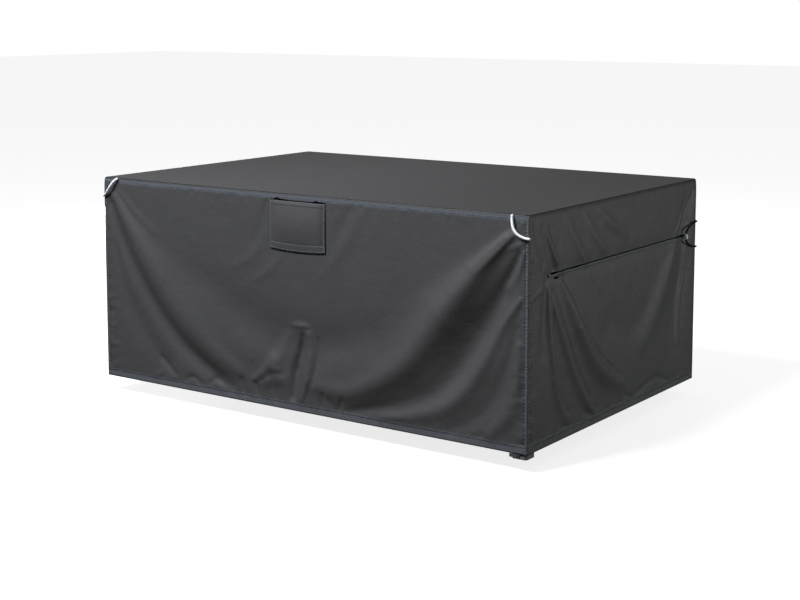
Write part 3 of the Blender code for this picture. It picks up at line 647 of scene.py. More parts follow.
# ------------------------------------------------------------------ making meshes
def grid_object(name, columns, rows, place, outward=None, joined=False, attributes=None):
    """A sheet of faces whose points come from place(columns, rows), with a UV map in metres.

    With joined, its first and last rows meet in one seam, and its open ends are closed.
    """
    across, down = len(columns) - 1, len(rows) - 1
    bm = bmesh.new()
    bmesh.ops.create_grid(bm, x_segments=across, y_segments=down, size=0.5)
    mesh = bpy.data.meshes.new(name)
    bm.to_mesh(mesh)
    bm.free()

    flat = np.empty(len(mesh.vertices) * 3)
    mesh.vertices.foreach_get("co", flat)
    flat = flat.reshape(-1, 3)
    u = np.array(columns)[np.rint((flat[:, 0] + 0.5) * across).astype(int)]
    v = np.array(rows)[np.rint((0.5 - flat[:, 1]) * down).astype(int)]
    mesh.vertices.foreach_set("co", np.ascontiguousarray(place(u, v), float).ravel())

    corners = np.empty(len(mesh.loops), int)
    mesh.loops.foreach_get("vertex_index", corners)
    layer = mesh.uv_layers.new(name="cloth")
    layer.uv.foreach_set("vector", np.stack((u, v), axis=1)[corners].ravel())
    for key, values in (attributes or {}).items():
        attribute = mesh.attributes.new(key, "FLOAT", "POINT")
        attribute.data.foreach_set("value", values(u, v).astype(np.float32))

    bm = bmesh.new()
    bm.from_mesh(mesh)
    if joined:
        bmesh.ops.remove_doubles(bm, verts=bm.verts, dist=1e-6)
        open_ends = [edge for edge in bm.edges if edge.is_boundary]
        bmesh.ops.holes_fill(bm, edges=open_ends)
        bmesh.ops.recalc_face_normals(bm, faces=bm.faces)
    else:
        bm.normal_update()
        if sum((face.normal for face in bm.faces), Vector()).dot(Vector(outward)) < 0:
            bmesh.ops.reverse_faces(bm, faces=bm.faces)
    bm.to_mesh(mesh)
    bm.free()
    mesh.shade_smooth()
    return link(name, mesh)


def link(name, data):
    obj = bpy.data.objects.new(name, data)
    bpy.context.scene.collection.objects.link(obj)
    return obj


def stretch_uv(obj, factors):
    """Bring a UV map that was made in shares of a piece to metres of its cloth."""
    layer = obj.data.uv_layers["cloth"].uv
    uv = np.empty(len(layer) * 2)
    layer.foreach_get("vector", uv)
    layer.foreach_set("vector", (uv.reshape(-1, 2) * factors).ravel())


def dress(obj, *materials):
    for material in materials:
        obj.data.materials.append(material)
    return obj


def thicken(obj, thickness, inner_slot=0):
    """Give a cloth its thickness, inwards from its outer face."""
    solidify = obj.modifiers.new("Cloth thickness", "SOLIDIFY")
    solidify.thickness = thickness
    solidify.offset = -1.0
    solidify.material_offset = inner_slot
    return solidify


def keep(obj, node, slot):
    """The piece rides on the cover's one body, in the place of a solid of the part."""
    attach(obj, "root")
    if node:
        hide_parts(node)
    return obj


def run_lengths(points):
    """How far each point is along a route, in metres."""
    return np.concatenate(([0.0], np.cumsum([(q - p).length for p, q in zip(points, points[1:])])))


def tube_object(name, route, radius, sides, round_ends=False):
    """A round cord or binding along a route, with rounded or flat closed ends."""
    points = [Vector(p) for p in route]
    lengths = run_lengths(points)
    total = lengths[-1]
    stops = list(lengths)
    if round_ends:
        cap = [radius * share for share in (0.0, 0.04, 0.15, 0.35, 0.65, 1.0)]
        stops = cap + [s for s in stops if radius * 1.2 < s < total - radius * 1.2]
        stops += [total - c for c in reversed(cap)]
    axes = np.array([tuple(p) for p in points])
    centres = np.stack([np.interp(stops, lengths, axes[:, i]) for i in range(3)], axis=1)
    ahead = np.gradient(centres, np.array(stops), axis=0)
    ahead /= np.linalg.norm(ahead, axis=1)[:, None]
    side = np.cross(ahead[0], (0.31, 0.27, 0.91))
    frames = []
    for direction in ahead:
        side = side - direction * side.dot(direction)
        side /= np.linalg.norm(side)
        frames.append((side, np.cross(direction, side)))

    def place(u, v):
        station = np.rint(np.interp(u, stops, range(len(stops)))).astype(int)
        width = np.full(len(u), radius)
        if round_ends:
            from_end = np.minimum(np.array(stops)[station], total - np.array(stops)[station])
            drop = np.clip(1.0 - from_end / radius, 0.0, 0.985)
            width = radius * np.sqrt(1.0 - drop**2)
        angle = 2 * math.pi * v
        one = np.array([f[0] for f in frames])[station]
        two = np.array([f[1] for f in frames])[station]
        return (
            centres[station]
            + width[:, None] * (np.cos(angle)[:, None] * one + np.sin(angle)[:, None] * two)
        )

    around = [i / sides for i in range(sides + 1)]
    return grid_object(name, stops, around, place, joined=True)


def smooth_route(points, spacing):
    """Points a set distance apart on a smooth curve through a route's own points."""
    knots = [Vector(p) for p in points]
    knots = [2 * knots[0] - knots[1], *knots, 2 * knots[-1] - knots[-2]]
    fine = [
        spline(*knots[i - 1 : i + 3], step / ROUTE_STEPS)
        for i in range(1, len(knots) - 2)
        for step in range(ROUTE_STEPS)
    ]
    fine.append(knots[-2])
    lengths = run_lengths(fine)
    total = float(lengths[-1])
    count = max(2, round(total / spacing))
    wanted = [total * i / count for i in range(count + 1)]
    axes = [np.interp(wanted, lengths, [p[axis] for p in fine]) for axis in range(3)]
    return [Vector(p) for p in zip(*axes)], total


def make_cord(name, node, route, look, spacing, sides):
    """A round cord in a solid's place. Its look is its diameter, material and slot; the slot is not
    used.
    """
    diameter, material, slot = look
    points, length = smooth_route(route, spacing)
    obj = dress(tube_object(name, points, diameter / 2, sides, round_ends=True), material)
    keep(obj, node, slot)


def stitch_object(name, rows, thickness, material):
    """Rows of stitches. Each row is (starts, ends), where its thread comes out and goes in."""
    mesh = bpy.data.meshes.new(name)
    whole = bmesh.new()
    for starts, ends in rows:
        bm = bmesh.new()
        for start, end in zip(starts, ends):
            start, end = Vector(start), Vector(end)
            along = end - start
            matrix = (
                Matrix.Translation((start + end) / 2)
                @ along.to_track_quat("Z", "Y").to_matrix().to_4x4()
                @ Matrix.Diagonal((thickness, thickness * 0.8, along.length * 1.1, 1.0))
            )
            bmesh.ops.create_icosphere(bm, subdivisions=1, radius=0.5, matrix=matrix)
        row = bpy.data.meshes.new("row")
        bm.to_mesh(row)
        bm.free()
        whole.from_mesh(row)
        bpy.data.meshes.remove(row)
    whole.to_mesh(mesh)
    whole.free()
    mesh.shade_smooth()
    return dress(link(name, mesh), material)


def stitch_ends(start, end, pitch):
    """Where the stitches of a straight run start and end, as two arrays."""
    count = int(abs(end - start) / pitch)
    starts = start + (end - start) * (np.arange(count) + 0.15) / count
    return starts, starts + (end - start) * 0.72 / count


# ------------------------------------------------------------------ finishes
def opaque(colour):
    return (*colour, 1.0)


class Finish:
    """One procedural material, with short calls for its nodes."""

    def __init__(self, name, colour, roughness, **sockets):
        self.material = bpy.data.materials.new(name)
        self.material.use_nodes = True
        self.tree = self.material.node_tree
        self.shader = self.tree.nodes["Principled BSDF"]
        self.colour = tuple(colour)
        self.shader.inputs["Base Color"].default_value = opaque(colour)
        self.shader.inputs["Roughness"].default_value = roughness
        for key, value in sockets.items():
            self.shader.inputs[key.replace("_", " ")].default_value = value

    def feed(self, socket, value):
        if isinstance(value, bpy.types.NodeSocket):
            self.tree.links.new(value, socket)
        else:
            socket.default_value = value

    def node(self, kind, inputs=None, **settings):
        made = self.tree.nodes.new("ShaderNode" + kind)
        for key, value in settings.items():
            setattr(made, key, value)
        for key, value in (inputs or {}).items():
            self.feed(made.inputs[key], value)
        return made

    def math(self, operation, *values):
        made = self.node("Math", operation=operation)
        for socket, value in zip(made.inputs, values):
            self.feed(socket, value)
        return made.outputs[0]

    def weigh(self, *parts):
        """The sum of (value, weight) pairs."""
        shares = [self.math("MULTIPLY", value, weight) for value, weight in parts]
        total = shares[0]
        for share in shares[1:]:
            total = self.math("ADD", total, share)
        return total

    def scaled(self, value, factor, base):
        return self.math("MULTIPLY_ADD", value, factor, base)

    def as_share(self, wave):
        """A wave that runs from -1 to 1, brought to run from 0 to 1."""
        return self.scaled(wave, 0.5, 0.5)

    def mix(self, share, low, high):
        made = self.node("Mix", data_type="RGBA")
        for key, value in ((0, share), (6, low), (7, high)):
            self.feed(made.inputs[key], value)
        return made.outputs[2]

    def noise(self, vector, scale, detail=2.0, distortion=0.0):
        inputs = {"Vector": vector, "Scale": scale, "Detail": detail, "Distortion": distortion}
        return self.node("TexNoise", inputs).outputs["Fac"]

    def object_coordinates(self):
        return self.node("TexCoord").outputs["Object"]

    def cloth_coordinates(self):
        """The piece's own UV map, in metres along and up the cloth, as a vector and its parts."""
        uv = self.node("UVMap", uv_map="cloth").outputs["UV"]
        parts = self.node("SeparateXYZ", {"Vector": uv})
        return uv, parts.outputs["X"], parts.outputs["Y"]

    def attribute(self, name):
        return self.node("Attribute", attribute_name=name).outputs["Fac"]

    def bump(self, height, distance, normal=None):
        inputs = {"Height": height, "Distance": distance}
        if normal is not None:
            inputs["Normal"] = normal
        return self.node("Bump", inputs).outputs["Normal"]

    def waves(self, coordinate, spacing, shift=0.0):
        """A sine wave from -1 to 1 over a coordinate in metres."""
        return self.math("SINE", self.scaled(coordinate, 2 * math.pi / spacing, shift))

    def lighten(self, share, amount):
        """The base colour, from a little darker to a little lighter as share goes from 0 to 1."""
        dark = [c * (1 - amount) for c in self.colour]
        light = [min(1.0, c * (1 + amount)) for c in self.colour]
        return self.mix(share, opaque(dark), opaque(light))

    def finish(self, colour=None, roughness=None, normal=None):
        for key, value in (("Base Color", colour), ("Roughness", roughness), ("Normal", normal)):
            if value is not None:
                self.feed(self.shader.inputs[key], value)
        return self.material


def woven(finish, yarn):
    """Height of a plain weave of crossing yarns, from 0 to 1."""
    uv, x, y = finish.cloth_coordinates()
    crossing = finish.math("MULTIPLY", finish.waves(x, 2 * yarn), finish.waves(y, 2 * yarn))
    return uv, x, y, finish.as_share(crossing)


# Near-black of the painted shade, mixed into the cloth where its shade attribute marks shadowed
# grooves, edges and creases.
SHADE_COLOUR = (0.004, 0.004, 0.004)


def cloth_finish(name, colour, band_colour, edge_highlight_colour, yarn):
    """Dull coated polyester: plain weave, uneven dye, a soft sheen and puckers at its seams."""
    f = Finish(name, colour, 0.50, Specular_IOR_Level=0.32)
    uv, x, y, weave = woven(f, yarn)
    dye = f.noise(uv, 5.0, 3.0)
    drawn_out = f.node("Mapping", {"Vector": uv, "Scale": (160.0, 1400.0, 1.0)}).outputs[0]
    slub = f.noise(drawn_out, 1.0, 1.0)
    tone = f.weigh((weave, 0.20), (dye, 0.45), (slub, 0.35))
    base = f.lighten(tone, 0.16)
    banded = f.mix(f.math("MULTIPLY", tone, 0.4), opaque(band_colour), base)
    base = f.mix(f.attribute("band"), base, banded)
    # Painted highlight on the sewn edges, from the edge attribute.
    base = f.mix(f.attribute("edge"), base, opaque(edge_highlight_colour))
    # Painted shade from the shade attribute.
    base = f.mix(f.attribute("shade"), base, opaque(SHADE_COLOUR))
    wear = f.noise(uv, 26.0, 4.0)
    roughness = f.scaled(wear, 0.14, 0.43)
    wander = f.math("MULTIPLY", f.noise(uv, 34.0, 2.0), 16.0)
    across = f.math("MULTIPLY", f.waves(x, 0.013, wander), f.attribute("pull_across"))
    down = f.math("MULTIPLY", f.waves(y, 0.012, wander), f.attribute("pull_down"))
    puckers = f.bump(f.math("ADD", across, down), 0.0005)
    creased = f.bump(f.noise(uv, 34.0, 4.0, 0.4), 0.0012, puckers)
    normal = f.bump(weave, 0.00010, creased)
    return f.finish(base, roughness, normal)


def coating_finish(name, colour):
    """The smooth waterproof coating on the inside of the cloth."""
    f = Finish(name, colour, 0.38, Specular_IOR_Level=0.5)
    uv, _, _ = f.cloth_coordinates()
    film = f.noise(uv, 14.0, 4.0)
    return f.finish(
        f.lighten(film, 0.12),
        f.scaled(film, 0.16, 0.30),
        f.bump(f.noise(uv, 220.0, 2.0), 0.0002),
    )


def binding_finish(name, colour):
    """Narrow woven binding with fine cross ribs."""
    f = Finish(name, colour, 0.55, Sheen_Weight=0.2, Sheen_Roughness=0.4)
    uv, x, _ = f.cloth_coordinates()
    ribs = f.as_share(f.waves(x, 0.0014))
    blotch = f.noise(uv, 40.0, 3.0)
    tone = f.weigh((ribs, 0.5), (blotch, 0.5))
    return f.finish(f.lighten(tone, 0.20), f.scaled(blotch, 0.15, 0.46), f.bump(ribs, 0.00015))


def thread_finish(name, colour):
    """Twisted sewing thread."""
    f = Finish(name, colour, 0.50, Sheen_Weight=0.3, Sheen_Roughness=0.3)
    ply = f.noise(f.object_coordinates(), 900.0, 1.0)
    return f.finish(f.lighten(ply, 0.22), f.scaled(ply, 0.2, 0.40), f.bump(ply, 0.0001))


def braid_finish(name, colour, roughness, shine, diameter, strand, depth):
    """A braided cord: two sets of strands that cross at a slant, eight of each round it."""
    f = Finish(name, colour, roughness, Specular_IOR_Level=shine)
    uv, x, y = f.cloth_coordinates()
    turn = f.math("MULTIPLY", y, 8 * 2 * math.pi)
    run = f.math("MULTIPLY", x, 2 * math.pi / strand)
    one = f.math("SINE", f.math("ADD", run, turn))
    two = f.math("SINE", f.math("SUBTRACT", run, turn))
    plaited = f.as_share(f.math("MAXIMUM", one, two))
    soil = f.noise(uv, 60.0, 3.0)
    tone = f.weigh((plaited, 0.6), (soil, 0.4))
    return f.finish(
        f.lighten(tone, 0.12), f.scaled(soil, 0.16, roughness - 0.08),
        f.bump(plaited, depth * diameter),
    )


def moulding_finish(name, colour, roughness):
    """Moulded plastic with a fine texture and a few light scuffs."""
    f = Finish(name, colour, roughness, Specular_IOR_Level=0.5)
    spot = f.object_coordinates()
    grain = f.noise(spot, 1400.0, 2.0)
    scuff = f.noise(spot, 160.0, 4.0, 1.2)
    return f.finish(
        f.lighten(scuff, 0.08), f.scaled(scuff, 0.18, roughness - 0.08),
        f.bump(grain, 0.00006),
    )


def webbing_finish(name, colour):
    """Webbing in a herringbone weave: its slanting ribs turn back every few millimetres."""
    f = Finish(name, colour, 0.62, Sheen_Weight=0.25, Sheen_Roughness=0.4)
    uv, x, y = f.cloth_coordinates()
    zigzag = f.math("PINGPONG", y, 0.004)
    ribs = f.as_share(f.waves(f.math("ADD", x, zigzag), 0.0018))
    soil = f.noise(uv, 90.0, 3.0)
    tone = f.weigh((ribs, 0.6), (soil, 0.4))
    return f.finish(f.lighten(tone, 0.24), f.scaled(soil, 0.2, 0.52), f.bump(ribs, 0.0002))


def netting_and_shade_finish(name):
    """Black netting behind the vent, also used as painted shade in slits, gaps and slots."""
    f = Finish(name, (0.004, 0.004, 0.005), 0.95, Specular_IOR_Level=0.0)
    _, x, y = f.cloth_coordinates()
    cells = f.math("MULTIPLY", f.waves(x, 0.0022), f.waves(y, 0.0022))
    return f.finish(f.lighten(f.as_share(cells), 0.5), None, f.bump(cells, 0.0003))


def finish_named(name, make, *values):
    """A finish is made once and shared by the pieces that have it."""
    return bpy.data.materials.get(name) or make(name, *values)


def outer_cloth():
    cloth = bpy.context.scene.cover_cloth
    colours = (cloth.colour, cloth.band_colour, cloth.edge_highlight_colour)
    return finish_named("Coated cloth", cloth_finish, *colours, cloth.yarn)


def inner_cloth():
    cloth = bpy.context.scene.cover_cloth
    return finish_named("Inner coating", coating_finish, cloth.inner_colour)


def cloth_piece(obj, node, thickness, **sheet):
    """Finish a piece of cloth: its two faces, its thickness and its solid; how it is held (sheet)
    is not used.
    """
    dress(obj, outer_cloth(), inner_cloth())
    solidify = thicken(obj, thickness, inner_slot=1)
    keep(obj, node, "cover_cloth")
    return solidify


# ------------------------------------------------------------------ the pieces
def from_top_edge(x, y):
    return np.minimum(HALF_X - np.abs(x), HALF_Y - np.abs(y))


class COVER_OT_top_panel(bpy.types.Operator):
    """Make the flat, taut top with its rounded corners"""

    bl_idname = "cover.top_panel"
    bl_label = "Top Panel"

    def execute(self, context):
        obj = grid_object(
            "cover_top", self.stops(HALF_X, 148), self.stops(HALF_Y, 98), self.place, (0, 0, 1),
            attributes={
                "shade": self.shade,
                "pull_across": lambda x, y: bell(HALF_Y - np.abs(y), 0.010),
                "pull_down": lambda x, y: bell(HALF_X - np.abs(x), 0.010),
            },
        )
        cloth_piece(obj, "top_panel", CLOTH, flat=(1.82, 1.22), held="stretched")
        return {"FINISHED"}

    def stops(self, half, cells):
        """Places of the grid's lines across the top, close together at its two edges."""
        inner = half - 0.016
        near = [half - inset for inset in (0.012, 0.008, 0.005, 0.0025, 0.001, 0.0)]
        middle = [inner * (2 * i / cells - 1) for i in range(cells + 1)]
        return [-p for p in reversed(near)] + middle + near

    def place(self, x, y):
        """The square grid drawn in to round corners, with slight slack and a rolled edge."""
        straight_x, straight_y = HALF_X - TOP_CORNER, HALF_Y - TOP_CORNER
        over_x, over_y = np.abs(x) - straight_x, np.abs(y) - straight_y
        in_corner = (over_x > 0) & (over_y > 0)
        reach = np.maximum(over_x, over_y)
        shrink = np.where(in_corner, reach / np.maximum(np.hypot(over_x, over_y), 1e-9), 1.0)
        new_x = np.where(in_corner, straight_x + over_x * shrink, np.abs(x))
        new_y = np.where(in_corner, straight_y + over_y * shrink, np.abs(y))
        inside = from_top_edge(x, y)
        slack = TOP_SLACK * unevenness(x, y, 41.0, TOP_SLACK_LENGTH, 3)
        slack *= smooth_step(inside / TOP_SLACK_FADE)
        rolled = TOP_ROLL * bell(inside, TOP_ROLL_REACH)
        height = CLOTH - rolled + np.minimum(slack, TOP_SLACK_LIMIT)
        return np.stack((np.copysign(new_x, x), np.copysign(new_y, y), height), axis=1)

    def shade(self, x, y):
        """Painted shade: the rolled edge is dark, and the cloth a little darker towards the right,
        where less light falls.
        """
        darker = 0.32 * smooth_step((x + 0.3) / 1.1)
        return np.maximum(darker, 0.85 * bell(from_top_edge(x, y), 0.0032))


# Painted shade lines on a side panel, where the rolled top edge, the groove beside each corner seam
# and the line just below the hem's top edge fall in shadow: strength, distance from its edge or
# seam, and reach. Where there are two rows, the first is for the long sides and the second for the
# ends.
ROLLED_EDGE_SHADE = ((0.8, 0.0, 0.0022), (0.98, 0.0045, 0.0060))
SEAM_GROOVE_SHADE = ((0.24, 0.0120, 0.0030), (0.24, 0.0180, 0.0060))
HEM_SHADOW_LINE = (0.8, 0.0020, 0.0034)

# Painted highlights along the sewn lines, where the rolled seams catch the light: beside the corner
# seams, stronger on the right half of the long sides, and under the heading band.
SEAM_HIGHLIGHT_PLACE, SEAM_HIGHLIGHT_REACH = 0.0058, 0.0024
SEAM_HIGHLIGHT_RIGHT, SEAM_HIGHLIGHT_LEFT, SEAM_HIGHLIGHT_ENDS = 0.8, 0.3, 0.12
HEADING_HIGHLIGHT_REACH = 0.0036

# Puckers across the heading and the hem, each as (strength, reach), and down the corner seams.
HEADING_PUCKER, HEM_PUCKER = (0.3, 0.012), (0.6, 0.014)
SEAM_PUCKER_REACH = 0.014


def side_attributes(side):
    """Shares from 0 to 1: bands of doubled cloth, painted highlights and painted shade along the
    sewn lines and edges, and puckers.
    """
    kind = 0 if side.has_heading else 1

    def from_seam(along):
        return side.half - np.abs(along)

    def band(along, z):
        return side.band_share(z) * (1.0, 0.6)[kind]

    # Painted highlight along the sewn lines.
    def edge(along, z):
        under_heading = side.has_heading * bell(z + HEADING + BAND_STEP, HEADING_HIGHLIGHT_REACH)
        strength = SEAM_HIGHLIGHT_ENDS
        if side.has_heading:
            strength = np.where(along > 0, SEAM_HIGHLIGHT_RIGHT, SEAM_HIGHLIGHT_LEFT)
        beside_seam = bell(from_seam(along) - SEAM_HIGHLIGHT_PLACE, SEAM_HIGHLIGHT_REACH)
        return np.maximum(under_heading, strength * beside_seam)

    # Painted shade: the rolled top edge, a line just below the hem's top edge and a groove beside
    # each corner seam.
    def shade(along, z):
        strength, below_top, reach = ROLLED_EDGE_SHADE[kind]
        rolled = strength * bell(z + below_top, reach)
        strength, below_hem, reach = HEM_SHADOW_LINE
        hem_shadow = strength * bell(z - HEM_TOP + below_hem, reach)
        strength, inset, reach = SEAM_GROOVE_SHADE[kind]
        groove = strength * bell(from_seam(along) - inset, reach)
        return np.maximum(rolled, np.maximum(hem_shadow, groove))

    def pull_across(along, z):
        heading = HEADING_PUCKER[0] * bell(z + HEADING, HEADING_PUCKER[1])
        hem = HEM_PUCKER[0] * bell(z - HEM_TOP, HEM_PUCKER[1])
        return np.maximum(heading, hem)

    def pull_down(along, z):
        return bell(from_seam(along), SEAM_PUCKER_REACH)

    return {
        "band": band, "edge": edge, "shade": shade,
        "pull_across": pull_across, "pull_down": pull_down,
    }


def make_side(name, node, side, columns, row_cells, flat):
    depth_share = bpy.context.scene.cover_cloth.fold_depth
    obj = grid_object(
        name, columns, side_rows(row_cells),
        lambda along, z: side.place(along, z, depth_share), side.outward,
        attributes=side_attributes(side),
    )
    group = obj.vertex_groups.new(name="bands")
    heights = np.array([vert.co.z for vert in obj.data.vertices])
    group.add(np.flatnonzero(side.band_share(heights) > 0.5).tolist(), 1.0, "REPLACE")
    solidify = cloth_piece(
        obj, node, BAND_CLOTH, flat=flat, held="hung", rests_on=["cover_top"]
    )
    solidify.vertex_group = group.name
    solidify.thickness_vertex_group = CLOTH / BAND_CLOTH


class COVER_OT_side_panels(bpy.types.Operator):
    """Make the four upright panels with their folds, heading bands and hems"""

    bl_idname = "cover.side_panels"
    bl_label = "Side Panels"

    def execute(self, context):
        long_cut, short_cut = (1.84, 0.80), (1.24, 0.80)
        for name, side, edge, column_cells, row_cells, flat in (
            ("front", FRONT, EDGE_X, 306, 112, long_cut),
            ("back", BACK, EDGE_X, 160, 64, long_cut),
            ("right_end", RIGHT_END, EDGE_Y, 220, 122, short_cut),
            ("left_end", LEFT_END, EDGE_Y, 106, 64, short_cut),
        ):
            columns = side_columns(edge, column_cells)
            make_side(f"cover_{name}", f"{name}_panel", side, columns, row_cells, flat)
        return {"FINISHED"}


class COVER_OT_corner_seams(bpy.types.Operator):
    """Make the bound seams down the four upright corners"""

    bl_idname = "cover.corner_seams"
    bl_label = "Corner Seams"

    def execute(self, context):
        cloth = context.scene.cover_cloth
        binding = finish_named("Seam binding", binding_finish, cloth.binding_colour)
        heights = [-0.0012, -0.004, -0.008, -0.014, -0.022, -0.034]
        heights += list(np.linspace(-0.045, -DROP, 100))
        insets = [SEAM_INSET + float(corner_tuck(0.0, z)) for z in heights]
        for name_y, sign_y in (("front", -1), ("back", 1)):
            for name_x, sign_x in (("right", 1), ("left", -1)):
                route = [
                    (sign_x * (HALF_X - inset), sign_y * (HALF_Y - inset), z)
                    for inset, z in zip(insets, heights)
                ]
                name = f"seam_{name_y}_{name_x}"
                obj = dress(tube_object(name, route, BINDING_RADIUS, sides=12), binding)
                keep(obj, f"corner_{name}", "seam_binding")
        return {"FINISHED"}


def flap_fold(across, down):
    """1 where the flap's cloth is doubled: on its top strip, its side hems and its foot hem."""
    from_side = (0.5 - np.abs(across)) * FLAP_WIDTH
    sides = smooth_step((FLAP_SIDE - from_side) / BAND_STEP)
    head = smooth_step((FLAP_HEAD - down * FLAP_DROP) / BAND_STEP)
    foot = smooth_step((FLAP_HEM - (1.0 - down) * FLAP_DROP) / BAND_STEP)
    return np.maximum(np.maximum(sides, head), foot)


def flap_place(across, down, lift=0.0):
    """A point of the vent flap: across runs from -0.5 to 0.5, and down from 0 to 1."""
    sag = FLAP_SAG * down * np.cos(math.pi * across)
    flat_edge = 1.0 - (2 * np.abs(across)) ** 4
    crown = FLAP_CROWN * flat_edge * np.sin(math.pi * down)
    rise = FLAP_STAND * np.sin(math.pi / 2 * np.minimum(1.0, down * FLAP_ROUNDING))
    stand = rise + crown + BAND_EXTRA * flap_fold(across, down) + lift
    return np.stack((
        FLAP_X + across * FLAP_WIDTH,
        -(HALF_Y + SEAM_GAP + CLOTH + stand),
        FLAP_TOP - down * FLAP_DROP - sag,
    ), axis=1)


class COVER_OT_vent_flap(bpy.types.Operator):
    """Make the puffed vent flap, with its hem, and the black netting strip above it, partly netting
    and partly painted shade
    """

    bl_idname = "cover.vent_flap"
    bl_label = "Vent Flap"

    def execute(self, context):
        side, step = FLAP_SIDE / FLAP_WIDTH, BAND_STEP / FLAP_WIDTH
        columns = stations((
            (-0.5, 0), (-0.5 + side - step, 3), (-0.5 + side, 2),
            (0.5 - side, 56), (0.5 - side + step, 2), (0.5, 3),
        ))
        head, foot, step = FLAP_HEAD / FLAP_DROP, 1 - FLAP_HEM / FLAP_DROP, BAND_STEP / FLAP_DROP
        rows = stations((
            (0.0, 0), (head - step, 6), (head, 2), (foot, 36), (foot + step, 2), (1.0, 7),
        ))
        obj = grid_object(
            "flap_cloth", columns, rows, flap_place, FRONT.outward,
            attributes={
                "band": lambda across, down: FLAP_BAND_SHARE * flap_fold(across, down),
                "shade": self.shade,
                # Painted highlight, in the sewn edges' bluish tone, along the flap's lower edge
                # where it catches the light.
                "edge": lambda across, down: bell((1.0 - down) * FLAP_DROP, FLAP_EDGE_HIGHLIGHT_REACH),
            },
        )
        stretch_uv(obj, (FLAP_WIDTH, FLAP_DROP))
        cloth_piece(
            obj, "vent_flap", CLOTH, flat=(0.25, 0.21), held="hung", rests_on=["cover_front"]
        )
        self.netting()
        return {"FINISHED"}

    def shade(self, across, down):
        """Painted shade: a dark line above the foot hem and a dark strip beside the right hem,
        where the puffed flap falls in shadow.
        """
        strength, above, reach = FLAP_HEM_SHADE
        over_hem = strength * bell((1.0 - down) * FLAP_DROP - FLAP_HEM - above, reach)
        strength, inset, reach = FLAP_SIDE_SHADE
        beside_hem = strength * bell((0.5 - across) * FLAP_WIDTH - inset, reach)
        return np.maximum(over_hem, beside_hem)

    def netting(self):
        """A narrow strip of black netting laid on the panel, partly the vent's netting and partly
        painted shade for the shadowed gap over the flap, open widest near its two top corners.
        """
        def place(across, share):
            gap = VENT_LINE + bumps(across, VENT_GAPS)
            along = FLAP_X + across * FLAP_WIDTH
            z = FLAP_TOP - VENT_TUCK + share * (VENT_TUCK + gap)
            return FRONT.place(along, z, 1.0, VENT_LIFT)

        columns = stations(((-0.5, 0), (0.5, 90)))
        obj = grid_object("vent_netting", columns, (0.0, 0.5, 1.0), place, FRONT.outward)
        dress(obj, finish_named("Vent netting", netting_and_shade_finish))
        thicken(obj, VENT_LIFT)
        keep(obj, None, "seam_binding")


